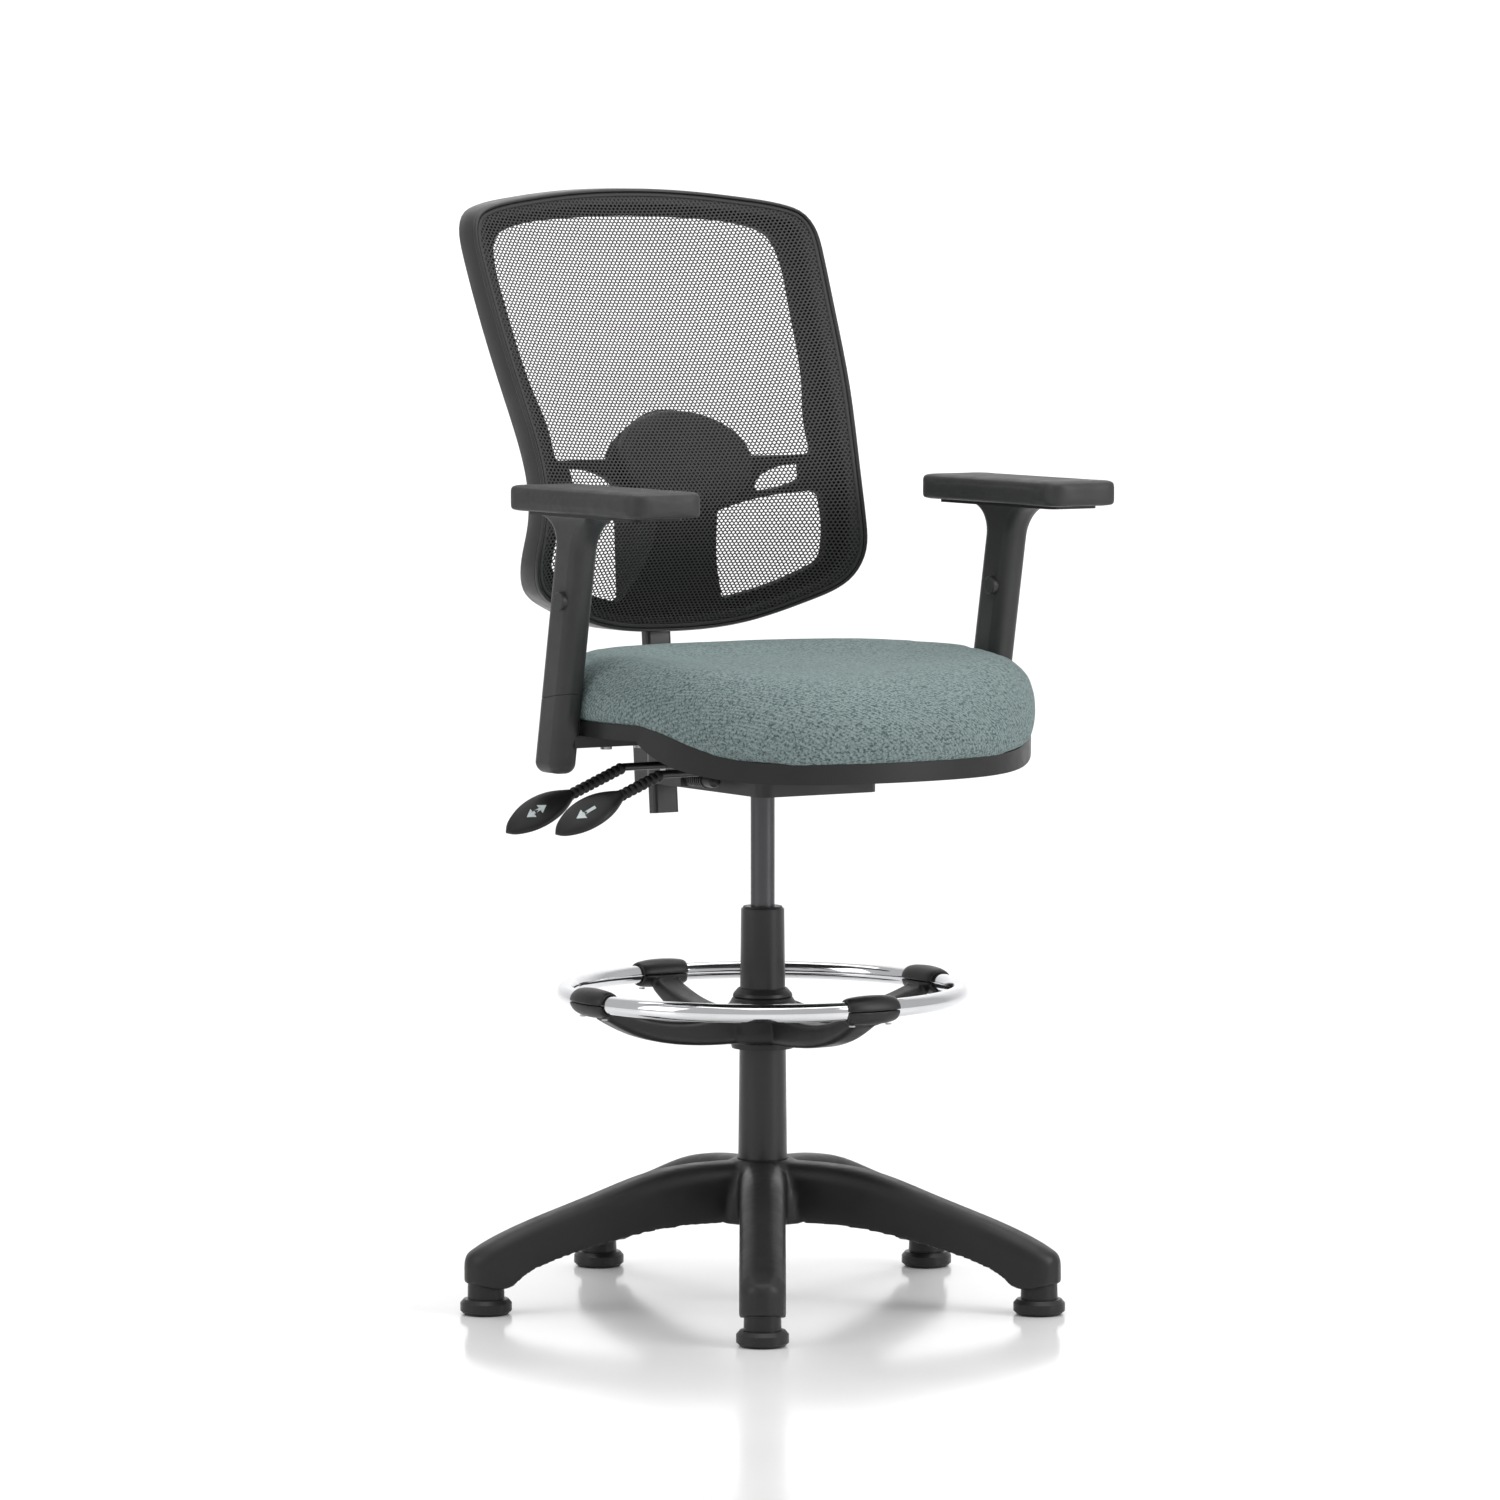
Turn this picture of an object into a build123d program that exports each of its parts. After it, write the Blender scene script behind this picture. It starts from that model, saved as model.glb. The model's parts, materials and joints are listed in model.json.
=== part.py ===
from build123d import *
import os
from math import cos, radians, sin, tan

# Drafting chair, in millimetres. +Z is up, the chair faces -Y, +X is the sitter's left.
# The origin is on the floor at the centre of the chair's footprint box, and the column
# stands at (COLUMN_X, COLUMN_Y), because the star base sits turned under the seat.

# ---------------------------------------------------------------- driving dimensions
COLUMN_X = 6.0
COLUMN_Y = -20.7

# star base
LEG_COUNT = 5
LEG_TIP_RADIUS = 320.0
LEG_WIDTH = 47.0
FIRST_LEG_ANGLE = -122.3
GLIDE_RADIUS = 298.0
GLIDE_HEIGHT = 35.0
STEM_RADIUS = 5.5
STEM_TOP = 60.0
HUB_BOTTOM = 84.0
HUB_TOP = 149.4

# column and gas lift
TUBE_BOTTOM = 80.0
TUBE_TOP = 408.6
TUBE_FOOT_RADIUS = 24.6
TUBE_HUB_RADIUS = 25.35
TUBE_TOP_RADIUS = 22.4
TUBE_BORE = 19.5
ROD_RADIUS = 5.0
CYLINDER_RADIUS = 12.5
CYLINDER_BORE = 10.0
CYLINDER_BOTTOM = 200.0
CYLINDER_TAPER_START = 534.0
CYLINDER_TOP = 560.0
CYLINDER_TOP_RADIUS = 11.6
PIN_RADIUS = 2.45
PIN_TOP = 566.0
RUNNING = 0.05

# foot ring
RING_RADIUS = 203.7
RING_Z = 322.6
RING_TUBE = 9.5
COLLAR_BORE = 24.1
COLLAR_RADIUS = 28.0
RING_HUB_BOTTOM = 270.0
RING_HUB_TOP = 316.0
SPOKE_WIDTH = 30.0
SADDLE = 29.0
SADDLE_LENGTH = 58.0

# tilt mechanism
HOUSING_X = 72.0
HOUSING_FRONT = -112.0
HOUSING_REAR = 120.0
HOUSING_BOTTOM = 534.0
HOUSING_TOP = 574.0
PLATE_TOP = 577.0
SHEET = 3.0
SOCKET_RADIUS = 18.0
SOCKET_TOP = 554.0
LEVER_PIVOT_X = -40.0
LEVER_Z = 562.0
LEVER_ROD = 4.0
LEVER_TIP_X = -300.0
LEVER_SLOPE = 22.0
LEVER_HUB = 6.0
LEVER_PIN = 3.0
NOSE_GAP = 0.4
NOSE_DEPTH = 3.0
NOSE_REACH = 4.0
ROD_IN_PADDLE = 38.0
PADDLE_START = 68.0
PADDLE_LENGTH = 72.0
PADDLE_THICKNESS = 14.0
PADDLE_TILT = 40.0
SLEEVE_START = 2.5
SLEEVE_WALL = 0.8
BEAD_HEIGHT = 2.0
BEAD_WIDTH = 4.0
BEAD_PITCH = 6.5
HEIGHT_LEVER = (2.0, 508.0)
TILT_LEVER = (-96.0, 514.0)
TILT_PIVOT_Y = 75.0
TILT_PIVOT_Z = 553.0
TILT_AXLE = 6.0
TENSION = (-92.0, 548.0)
TENSION_LUG_Y = -3.0

# seat
SEAT_HALF_WIDTH = 244.0
SEAT_FRONT = -282.0
SEAT_NOSE_CENTRE = -80.0
SEAT_REAR = 142.0
SEAT_CORNER = 195.0
SEAT_WELL_WIDTH = 156.0
SEAT_WELL_WALL = 4.0
SHELL_LINE = 615.5
SHELL_UNDERSIDE = 600.0
SHELL_NOSE_LINE = 580.0
SHELL_NOSE_BOTTOM = 560.0
SEAT_TOP = 677.0

SEAT_BOLT = 4.0
SEAT_BOLT_Y = 4.0
SEAT_BOLT_GRID = (96.0, 150.0)

# back
BACK_RAKE = 4.8
BAR_Y = 194.7
BAR_BOTTOM = 493.0
BAR_WIDTH = 30.0
BAR_DEPTH = 15.0
BAR_LENGTH = 372.0
GUIDE_BOTTOM = 526.0
GUIDE_TOP = 592.0
BACK_SAG = 26.0
BACK_HALF_SHEET = 216.0
BACK_CURVE = (
    (208, 632), (176, 676), (133.6, 750), (121, 800), (126.6, 850), (144.5, 900),
    (192.9, 1000), (241, 1105), (279, 1200),
)
BACK_EDGE = (
    (0, 685), (90, 693), (155, 715), (192, 738), (202, 768), (198.8, 800), (195.7, 855),
    (203, 935), (210.5, 1040), (209, 1100), (188, 1131), (100, 1144.5), (0, 1149),
)
EDGE_SPANS = 6
STEPS_PER_SPAN = 5
SCREW_ROWS = (715.0, 850.0)
RIM_DEPTH = 34.0
RIM_THICKNESS = 10.0
FRAME_FRONT = 3.0
FRAME_REAR = 15.0
ARM_BAND_TOP = 868.5
LUMBAR_Z = 866.0
FIT_GAP = 0.2
BEHIND_ALL = 320.0

# arms
ARM_X = 260.5
ARM_RAKE = 10.9
ARM_Y = -25.5
ARM_Z = 599.0
POST_DEPTH = 46.0
POST_WIDTH = 30.0
POST_CORNER = 12.5
POST_BOTTOM = 561.6
SLEEVE_BOTTOM = 640.0
PLATE_Z = 823.0
PAD_X = 249.6
PAD_Y = -98.8
PAD_LENGTH = 250.0
PAD_WIDTH = 80.0
PAD_BOTTOM = 827.0
PAD_TOP = 851.0
ARM_BRACKET_Y = -29.0
ARM_BRACKET_WIDTH = 38.0
ARM_BRACKET_BOTTOM = 588.0
ARM_BOLT_X = (166.0, 206.0)
ARM_BOLT = 3.5
BAR_SLOT = (28.0, 12.0)
INNER_BAR_TOP = 785.0
BUTTON_Z = 738.0
BUTTON_Y = -59.0
BUTTON_RADIUS = 9.4
BUTTON_POCKET = 8.1

COLUMN_AXIS = Axis((COLUMN_X, COLUMN_Y, 0), (0, 0, 1))


# ---------------------------------------------------------------- planes and helpers
def level(z):
    """Horizontal plane at height z, centred on the column."""
    return Plane((COLUMN_X, COLUMN_Y, z))


def side_plane(x):
    """Side view at x left of the column: local x runs backward, local y runs up."""
    return Plane((COLUMN_X + x, COLUMN_Y, 0), x_dir=(0, 1, 0), z_dir=(1, 0, 0))


def front_plane(y):
    """Front view at y behind the column: local x runs left, local y runs up."""
    return Plane((COLUMN_X, COLUMN_Y + y, 0), x_dir=(1, 0, 0), z_dir=(0, -1, 0))


def place(x, y, z):
    """A point given from the column, in the model's own frame."""
    return (COLUMN_X + x, COLUMN_Y + y, z)


def save(body, name):
    """Label a finished piece and write it."""
    body.part.label = name
    export_step(body.part, f"parts/{name}.step")


def turned(outline):
    """A body of revolution about the column, from (radius, height) corners."""
    with BuildPart() as body:
        with BuildSketch(front_plane(0)):
            with BuildLine():
                Polyline(*outline, close=True)
            make_face()
        revolve(axis=COLUMN_AXIS)
    return body


os.makedirs("parts", exist_ok=True)


# ---------------------------------------------------------------- star base and glides
def leg_shape():
    """One arched leg along +X, hollow and ribbed underneath, with a stem socket."""
    with BuildPart() as leg:
        with BuildSketch(Plane.XZ):
            with BuildLine():
                top = Spline(
                    (30, HUB_TOP - 2), (120, 139), (240, 97), (LEG_TIP_RADIUS, 66)
                )
                Polyline(
                    top @ 1,
                    (LEG_TIP_RADIUS, GLIDE_HEIGHT + 6),
                    (LEG_TIP_RADIUS - 5, GLIDE_HEIGHT),
                    (268, GLIDE_HEIGHT),
                )
                Spline((268, GLIDE_HEIGHT), (240, 51), (180, 68.5), (120, 80.5), (30, 86))
                Line((30, 86), top @ 0)
            make_face()
        extrude(amount=LEG_WIDTH / 2, both=True)
        with BuildSketch(Plane.XY):
            tip_centre = LEG_TIP_RADIUS - LEG_WIDTH / 2
            with Locations((tip_centre / 2, 0)):
                Rectangle(tip_centre, LEG_WIDTH)
            with Locations((tip_centre, 0)):
                Circle(LEG_WIDTH / 2)
        extrude(amount=HUB_TOP + 10, mode=Mode.INTERSECT)
        crown = leg.faces().sort_by(lambda face: face.normal_at().Z)[-1]
        fillet(crown.edges().filter_by(lambda edge: edge.center().X > 40), radius=11)
        with BuildSketch(Plane.XZ):
            with BuildLine():
                Polyline(
                    (56, 20), (258, 20), (258, 80), (200, 102), (120, 129), (56, 136),
                    close=True,
                )
            make_face()
            with Locations((105, 80), (155, 80), (205, 80)):
                Rectangle(3, 130, mode=Mode.SUBTRACT)
        extrude(amount=LEG_WIDTH / 2 - 4.5, both=True, mode=Mode.SUBTRACT)
        with Locations((GLIDE_RADIUS, 0, GLIDE_HEIGHT)):
            Cylinder(
                STEM_RADIUS,
                STEM_TOP - GLIDE_HEIGHT,
                align=(Align.CENTER, Align.CENTER, Align.MIN),
                mode=Mode.SUBTRACT,
            )
    return leg.part


def star_base():
    """Five legs round a hub whose bore is the column's taper."""
    leg = leg_shape()
    with BuildPart(level(0)) as base:
        with PolarLocations(0, LEG_COUNT, start_angle=FIRST_LEG_ANGLE):
            add(leg)
        with BuildSketch(front_plane(0)):
            with BuildLine():
                Polyline(
                    (0, HUB_BOTTOM),
                    (50, HUB_BOTTOM),
                    (50, 118),
                    (46, 138),
                    (37, HUB_TOP),
                    (0, HUB_TOP),
                    close=True,
                )
            make_face()
        revolve(axis=COLUMN_AXIS)
        with BuildSketch(front_plane(0)):
            with BuildLine():
                Polyline(
                    (0, TUBE_BOTTOM),
                    (TUBE_FOOT_RADIUS, TUBE_BOTTOM),
                    (TUBE_HUB_RADIUS, HUB_TOP),
                    (TUBE_HUB_RADIUS, HUB_TOP + 5),
                    (0, HUB_TOP + 5),
                    close=True,
                )
            make_face()
        revolve(axis=COLUMN_AXIS, mode=Mode.SUBTRACT)
    return base


def glide_places():
    """The five glide centres on the floor."""
    turns = [FIRST_LEG_ANGLE + 360 / LEG_COUNT * n for n in range(LEG_COUNT)]
    return [
        place(GLIDE_RADIUS * cos(radians(a)), GLIDE_RADIUS * sin(radians(a)), 0)
        for a in turns
    ]


def glide(position):
    """A floor glide: a disc foot under a collar, bored for its stem."""
    with BuildPart(Plane(position)) as foot:
        with BuildSketch(Plane(position, x_dir=(1, 0, 0), z_dir=(0, -1, 0))):
            with BuildLine():
                Polyline(
                    (0, 0),
                    (22, 0),
                    (26.5, 4),
                    (26.5, 12),
                    (23, 16),
                    (19, 16.5),
                    (18.5, GLIDE_HEIGHT),
                    (STEM_RADIUS, GLIDE_HEIGHT),
                    (STEM_RADIUS, 6),
                    (0, 6),
                    close=True,
                )
            make_face()
        revolve(axis=Axis(position, (0, 0, 1)))
    return foot


def glide_stems():
    """The five steel stems that join glides and legs."""
    with BuildPart(Plane.XY.offset(6)) as stems:
        with BuildSketch(Plane.XY.offset(6)):
            with Locations(*[position[:2] for position in glide_places()]):
                Circle(STEM_RADIUS)
        extrude(amount=STEM_TOP - 6)
    return stems


save(star_base(), "star_base")
for number, position in enumerate(glide_places(), start=1):
    save(glide(position), f"glide_{number}")
save(glide_stems(), "glide_stems")


# ---------------------------------------------------------------- column and gas lift
def column_tube():
    return turned([
        (6.5, TUBE_BOTTOM),
        (TUBE_FOOT_RADIUS, TUBE_BOTTOM),
        (TUBE_HUB_RADIUS, HUB_TOP),
        (TUBE_TOP_RADIUS, TUBE_TOP),
        (TUBE_BORE, TUBE_TOP),
        (TUBE_BORE, 92),
        (6.5, 92),
    ])


def column_bush():
    return turned([
        (CYLINDER_RADIUS + RUNNING, 300),
        (TUBE_BORE, 300),
        (TUBE_BORE, TUBE_TOP),
        (TUBE_TOP_RADIUS - 1, TUBE_TOP),
        (TUBE_TOP_RADIUS - 2.5, TUBE_TOP + 2.5),
        (CYLINDER_RADIUS + RUNNING, TUBE_TOP + 2.5),
    ])


def gas_cylinder():
    return turned([
        (ROD_RADIUS + RUNNING, CYLINDER_BOTTOM),
        (CYLINDER_RADIUS, CYLINDER_BOTTOM),
        (CYLINDER_RADIUS, CYLINDER_TAPER_START),
        (CYLINDER_TOP_RADIUS, CYLINDER_TOP),
        (PIN_RADIUS + RUNNING, CYLINDER_TOP),
        (PIN_RADIUS + RUNNING, CYLINDER_TOP - 28),
        (0, CYLINDER_TOP - 28),
        (0, CYLINDER_TOP - 34),
        (CYLINDER_BORE, CYLINDER_TOP - 34),
        (CYLINDER_BORE, CYLINDER_BOTTOM + 10),
        (ROD_RADIUS + RUNNING, CYLINDER_BOTTOM + 10),
    ])


def piston_rod():
    return turned([
        (0, 70),
        (ROD_RADIUS, 70),
        (ROD_RADIUS, 98.1),
        (12, 98.1),
        (12, 102),
        (ROD_RADIUS, 102),
        (ROD_RADIUS, 384),
        (0, 384),
    ])


save(column_tube(), "column_tube")
save(column_bush(), "column_bush")
save(turned([(6.5, 92), (14, 92), (14, 98), (6.5, 98)]), "thrust_bearing")
save(turned([(ROD_RADIUS, 76), (9, 76), (9, 78.5), (ROD_RADIUS, 78.5)]), "rod_clip")
save(piston_rod(), "piston_rod")
save(turned([(0, 384), (9.95, 384), (9.95, 396), (0, 396)]), "piston_head")
save(gas_cylinder(), "gas_cylinder")
save(
    turned([
        (0, CYLINDER_TOP - 23), (PIN_RADIUS, CYLINDER_TOP - 23),
        (PIN_RADIUS, PIN_TOP), (0, PIN_TOP),
    ]),
    "release_pin",
)


# ---------------------------------------------------------------- foot ring
def ring_collar():
    """The collet that grips the column, with a flange under the hub."""
    return turned([
        (COLLAR_BORE, 264),
        (32, 264),
        (33, 269.9),
        (COLLAR_RADIUS, 269.9),
        (COLLAR_RADIUS, 318),
        (COLLAR_BORE, 318),
    ])


def ring_lock_nut():
    """The cone above the hub that closes the collet."""
    return turned([
        (COLLAR_BORE, 318), (31, 318), (30, 321), (25.6, 326), (COLLAR_BORE, 326),
    ])


def spoke_shape():
    """One spoke along +X: a shallow bowl arm that ends in the lower half of a saddle."""
    with BuildPart() as spoke:
        with BuildSketch(Plane.XZ):
            with BuildLine():
                upper = Spline(
                    (COLLAR_RADIUS + 2, 312), (52, 298), (110, 291), (165, 303),
                    (RING_RADIUS - 9, 319),
                )
                Polyline(upper @ 1, (RING_RADIUS - 9, 309))
                lower = Spline(
                    (RING_RADIUS - 9, 309), (165, 288), (105, 273), (COLLAR_RADIUS + 2, 271)
                )
                Line(lower @ 1, upper @ 0)
            make_face()
        extrude(amount=SPOKE_WIDTH / 2, both=True)
        with BuildSketch(Plane.XY.offset(RING_Z - SADDLE / 2)):
            with Locations((RING_RADIUS, 0)):
                RectangleRounded(SADDLE, SADDLE_LENGTH, 6)
        extrude(amount=SADDLE / 2)
    return spoke.part


def foot_ring_hub():
    """Hub and four spokes, turning on the collar."""
    spoke = spoke_shape()
    with BuildPart(level(0)) as hub:
        with PolarLocations(0, 4):
            add(spoke)
        with BuildSketch(front_plane(0)):
            with BuildLine():
                Polyline(
                    (0, RING_HUB_BOTTOM),
                    (38, RING_HUB_BOTTOM),
                    (44, RING_HUB_BOTTOM + 6),
                    (42, 296),
                    (34, RING_HUB_TOP + 1),
                    (0, RING_HUB_TOP + 1),
                    close=True,
                )
            make_face()
        revolve(axis=COLUMN_AXIS)
        with BuildSketch(level(RING_HUB_BOTTOM - 5)):
            Circle(COLLAR_RADIUS + RUNNING)
        extrude(amount=80, mode=Mode.SUBTRACT)
        with Locations((0, 0, RING_Z)):
            Torus(RING_RADIUS, RING_TUBE, mode=Mode.SUBTRACT)
    return hub


def ring_clamp_caps():
    """The four upper saddle halves over the ring."""
    with BuildPart(level(RING_Z)) as caps:
        with BuildSketch(level(RING_Z)):
            with PolarLocations(RING_RADIUS, 4):
                RectangleRounded(SADDLE, SADDLE_LENGTH, 6)
        extrude(amount=SADDLE / 2)
        fillet(caps.faces().group_by(Axis.Z)[-1].edges(), radius=4)
        Torus(RING_RADIUS, RING_TUBE, mode=Mode.SUBTRACT)
    return caps


def foot_ring_tube():
    """The bright steel hoop, a hollow tube."""
    with BuildPart(level(RING_Z)) as ring:
        Torus(RING_RADIUS, RING_TUBE)
        Torus(RING_RADIUS, RING_TUBE - 1.5, mode=Mode.SUBTRACT)
    return ring


def ring_screws():
    """Eight screws under the saddles, two to each."""
    with BuildPart() as screws:
        for side in (-1, 1):
            with BuildSketch(level(RING_Z - SADDLE / 2 - 1.5)):
                with PolarLocations(RING_RADIUS, 4):
                    with Locations((0, side * 22)):
                        Circle(3.2)
            extrude(amount=1.5)
    return screws


save(ring_collar(), "ring_collar")
save(ring_lock_nut(), "ring_lock_nut")
save(foot_ring_hub(), "foot_ring_hub")
save(ring_clamp_caps(), "ring_clamp_caps")
save(foot_ring_tube(), "foot_ring_tube")
save(ring_screws(), "ring_screws")


# ---------------------------------------------------------------- tilt mechanism
def taper_socket():
    """The welded socket that sits on the gas cylinder's taper."""
    narrowed = (CYLINDER_RADIUS - CYLINDER_TOP_RADIUS) / (CYLINDER_TOP - CYLINDER_TAPER_START)
    top_radius = CYLINDER_RADIUS - narrowed * (SOCKET_TOP - CYLINDER_TAPER_START)
    return turned([
        (CYLINDER_RADIUS, 526),
        (SOCKET_RADIUS, 526),
        (SOCKET_RADIUS, SOCKET_TOP),
        (top_radius, SOCKET_TOP),
        (CYLINDER_RADIUS, CYLINDER_TAPER_START),
    ])


def mechanism_housing():
    """Pressed tray: open above, slotted for the levers, notched behind for the back arm."""
    middle = (HOUSING_FRONT + HOUSING_REAR) / 2
    depth = HOUSING_REAR - HOUSING_FRONT
    with BuildPart() as tray:
        with BuildSketch(level(HOUSING_BOTTOM)):
            with Locations((0, middle)):
                RectangleRounded(2 * HOUSING_X, depth, 14)
        extrude(amount=HOUSING_TOP - HOUSING_BOTTOM)
        with BuildSketch(level(HOUSING_BOTTOM + SHEET)):
            with Locations((0, middle)):
                RectangleRounded(2 * (HOUSING_X - SHEET), depth - 2 * SHEET, 11)
        extrude(amount=HOUSING_TOP - HOUSING_BOTTOM, mode=Mode.SUBTRACT)
        with BuildSketch(level(HOUSING_BOTTOM)):
            Circle(SOCKET_RADIUS)
        extrude(amount=SHEET, mode=Mode.SUBTRACT)
        with BuildSketch(level(HOUSING_BOTTOM)):
            with Locations((0, 91)):
                Rectangle(56, 62)
        extrude(amount=HOUSING_TOP - HOUSING_BOTTOM, mode=Mode.SUBTRACT)
        with BuildSketch(side_plane(-HOUSING_X)):
            for y in (HEIGHT_LEVER[0], TILT_LEVER[0]):
                with Locations((y, HOUSING_TOP - 8)):
                    Rectangle(14, 18)
        extrude(amount=2 * SHEET, mode=Mode.SUBTRACT)
        with BuildSketch(side_plane(-HOUSING_X)):
            with Locations((TILT_PIVOT_Y, TILT_PIVOT_Z)):
                Circle(TILT_AXLE)
        extrude(amount=2 * HOUSING_X, mode=Mode.SUBTRACT)
        with BuildSketch(front_plane(HOUSING_FRONT)):
            with Locations((LEVER_PIVOT_X, LEVER_Z)):
                Circle(3)
        extrude(amount=-SHEET, mode=Mode.SUBTRACT)
        with BuildSketch(front_plane(TENSION_LUG_Y)):
            with Locations((TENSION[0] + 5, TENSION[1])):
                Rectangle(32, 16)
            with Locations(TENSION):
                Circle(3 + RUNNING, mode=Mode.SUBTRACT)
        extrude(amount=SHEET)
    return tray


def seat_mount_plate():
    """The plate that closes the tray and carries the seat."""
    with BuildPart() as plate:
        with BuildSketch(level(HOUSING_TOP)):
            with Locations((0, (HOUSING_FRONT + HOUSING_REAR) / 2)):
                RectangleRounded(2 * HOUSING_X, HOUSING_REAR - HOUSING_FRONT, 14)
            with Locations((0, SEAT_BOLT_Y)):
                with GridLocations(*SEAT_BOLT_GRID, 2, 2):
                    Circle(SEAT_BOLT, mode=Mode.SUBTRACT)
        extrude(amount=PLATE_TOP - HOUSING_TOP)
    return plate


def cross_rod(radius, half_length, y, z):
    """A round bar across the chair."""
    with BuildPart() as rod:
        with BuildSketch(side_plane(-half_length)):
            with Locations((y, z)):
                Circle(radius)
        extrude(amount=2 * half_length)
    return rod


def lever_axle():
    """The fore-and-aft pin both levers rock on."""
    with BuildPart() as axle:
        with BuildSketch(front_plane(20)):
            with Locations((LEVER_PIVOT_X, LEVER_Z)):
                Circle(3)
        extrude(amount=20 - HOUSING_FRONT)
    return axle


save(taper_socket(), "taper_socket")
save(mechanism_housing(), "mechanism_housing")
save(seat_mount_plate(), "seat_mount_plate")
save(cross_rod(TILT_AXLE, HOUSING_X + 3, TILT_PIVOT_Y, TILT_PIVOT_Z), "tilt_axle")
save(lever_axle(), "lever_axle")


# ---------------------------------------------------------------- levers
def lever_bend_x(tip_z):
    """Where a lever turns down towards its paddle."""
    return LEVER_TIP_X + (LEVER_Z - tip_z) / tan(radians(LEVER_SLOPE))


def lever_down(tip_z, along):
    """X, Z and direction of a lever's sloping run, at a distance past its bend."""
    slope = radians(LEVER_SLOPE)
    return (
        lever_bend_x(tip_z) - along * cos(slope),
        LEVER_Z - along * sin(slope),
        (-cos(slope), 0, -sin(slope)),
    )


def lever_run(tip_z):
    """The length of a lever's sloping run."""
    return (LEVER_Z - tip_z) / sin(radians(LEVER_SLOPE))


def slope_plane(y, tip_z, along):
    """Plane square to the sloping run of the lever at y."""
    x, z, direction = lever_down(tip_z, along)
    return Plane(place(x, y, z), x_dir=(0, 1, 0), z_dir=direction)


def lever_rod(y, tip_z, nose):
    """Hub on the axle, a straight run out, a bend and the sloping run to the paddle."""
    bend = lever_bend_x(tip_z)
    hub_front = front_plane(y + LEVER_HUB)
    nose_under = PIN_TOP + NOSE_GAP
    with BuildPart() as rod:
        with BuildSketch(hub_front):
            with Locations((LEVER_PIVOT_X, LEVER_Z)):
                Circle(LEVER_HUB)
        extrude(amount=2 * LEVER_HUB)
        with BuildSketch(side_plane(bend)):
            with Locations((y, LEVER_Z)):
                Circle(LEVER_ROD)
        extrude(amount=LEVER_PIVOT_X - bend)
        with Locations(place(bend, y, LEVER_Z)):
            Sphere(LEVER_ROD)
        with BuildSketch(slope_plane(y, tip_z, 0)):
            Circle(LEVER_ROD)
        extrude(amount=lever_run(tip_z) - PADDLE_START + ROD_IN_PADDLE)
        if nose:
            with BuildSketch(hub_front):
                with BuildLine():
                    Polyline(
                        (LEVER_PIVOT_X + 2, LEVER_Z + 1),
                        (LEVER_PIVOT_X + 7, nose_under),
                        (NOSE_REACH, nose_under),
                        (NOSE_REACH, nose_under + NOSE_DEPTH),
                        (LEVER_PIVOT_X, nose_under + NOSE_DEPTH),
                        close=True,
                    )
                make_face()
            extrude(amount=2 * LEVER_HUB)
        with BuildSketch(hub_front):
            with Locations((LEVER_PIVOT_X, LEVER_Z)):
                Circle(LEVER_PIN + RUNNING)
        extrude(amount=2 * LEVER_HUB, mode=Mode.SUBTRACT)
    return rod


def lever_sleeve(y, tip_z):
    """The ribbed grip on the sloping run, a stack of beads on a thin tube."""
    length = lever_run(tip_z) - PADDLE_START - SLEEVE_START
    with BuildPart() as sleeve:
        with BuildSketch(slope_plane(y, tip_z, SLEEVE_START)):
            Circle(LEVER_ROD + SLEEVE_WALL)
        extrude(amount=length)
        for bead in range(int(length / BEAD_PITCH)):
            bead_start = SLEEVE_START + 1.5 + bead * BEAD_PITCH
            with BuildSketch(slope_plane(y, tip_z, bead_start)):
                Circle(LEVER_ROD + BEAD_HEIGHT)
            extrude(amount=BEAD_WIDTH)
        with BuildSketch(slope_plane(y, tip_z, SLEEVE_START)):
            Circle(LEVER_ROD)
        extrude(amount=length, mode=Mode.SUBTRACT)
    return sleeve


def lever_paddle(y, tip_z):
    """A leaf-shaped paddle on the end of the run, its face turned up and forward."""
    slope = radians(LEVER_SLOPE)
    tilt = radians(PADDLE_TILT)
    x, z, direction = lever_down(tip_z, lever_run(tip_z) - PADDLE_START)
    normal = (-sin(slope) * sin(tilt), -cos(tilt), cos(slope) * sin(tilt))
    face = Plane(place(x, y, z), x_dir=direction, z_dir=normal)
    with BuildPart() as paddle:
        with BuildSketch(face.offset(-PADDLE_THICKNESS / 2)):
            with BuildLine():
                Spline(
                    (0, 8), (34, 16), (60, 11), (PADDLE_LENGTH, 0),
                    tangents=((1, 0.2), (0, -1)),
                )
                mirror(about=Plane.XZ)
                Line((0, 8), (0, -8))
            make_face()
        extrude(amount=PADDLE_THICKNESS)
        fillet(paddle.edges().filter_by(lambda e: e.length > 60), radius=5)
        with BuildSketch(slope_plane(y, tip_z, lever_run(tip_z) - PADDLE_START - 1)):
            Circle(LEVER_ROD)
        extrude(amount=ROD_IN_PADDLE + 1, mode=Mode.SUBTRACT)
    return paddle


for lever_name, (y, tip_z), nose in (
    ("height_lever", HEIGHT_LEVER, True),
    ("tilt_lever", TILT_LEVER, False),
):
    save(lever_rod(y, tip_z, nose), f"{lever_name}_rod")
    save(lever_sleeve(y, tip_z), f"{lever_name}_sleeve")
    save(lever_paddle(y, tip_z), f"{lever_name}_paddle")


# ---------------------------------------------------------------- seat
def arm_bolt_places():
    """Plan positions of the bolts that hold the arm brackets under the pan."""
    return [(side * x, ARM_BRACKET_Y) for side in (-1, 1) for x in ARM_BOLT_X]


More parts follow.
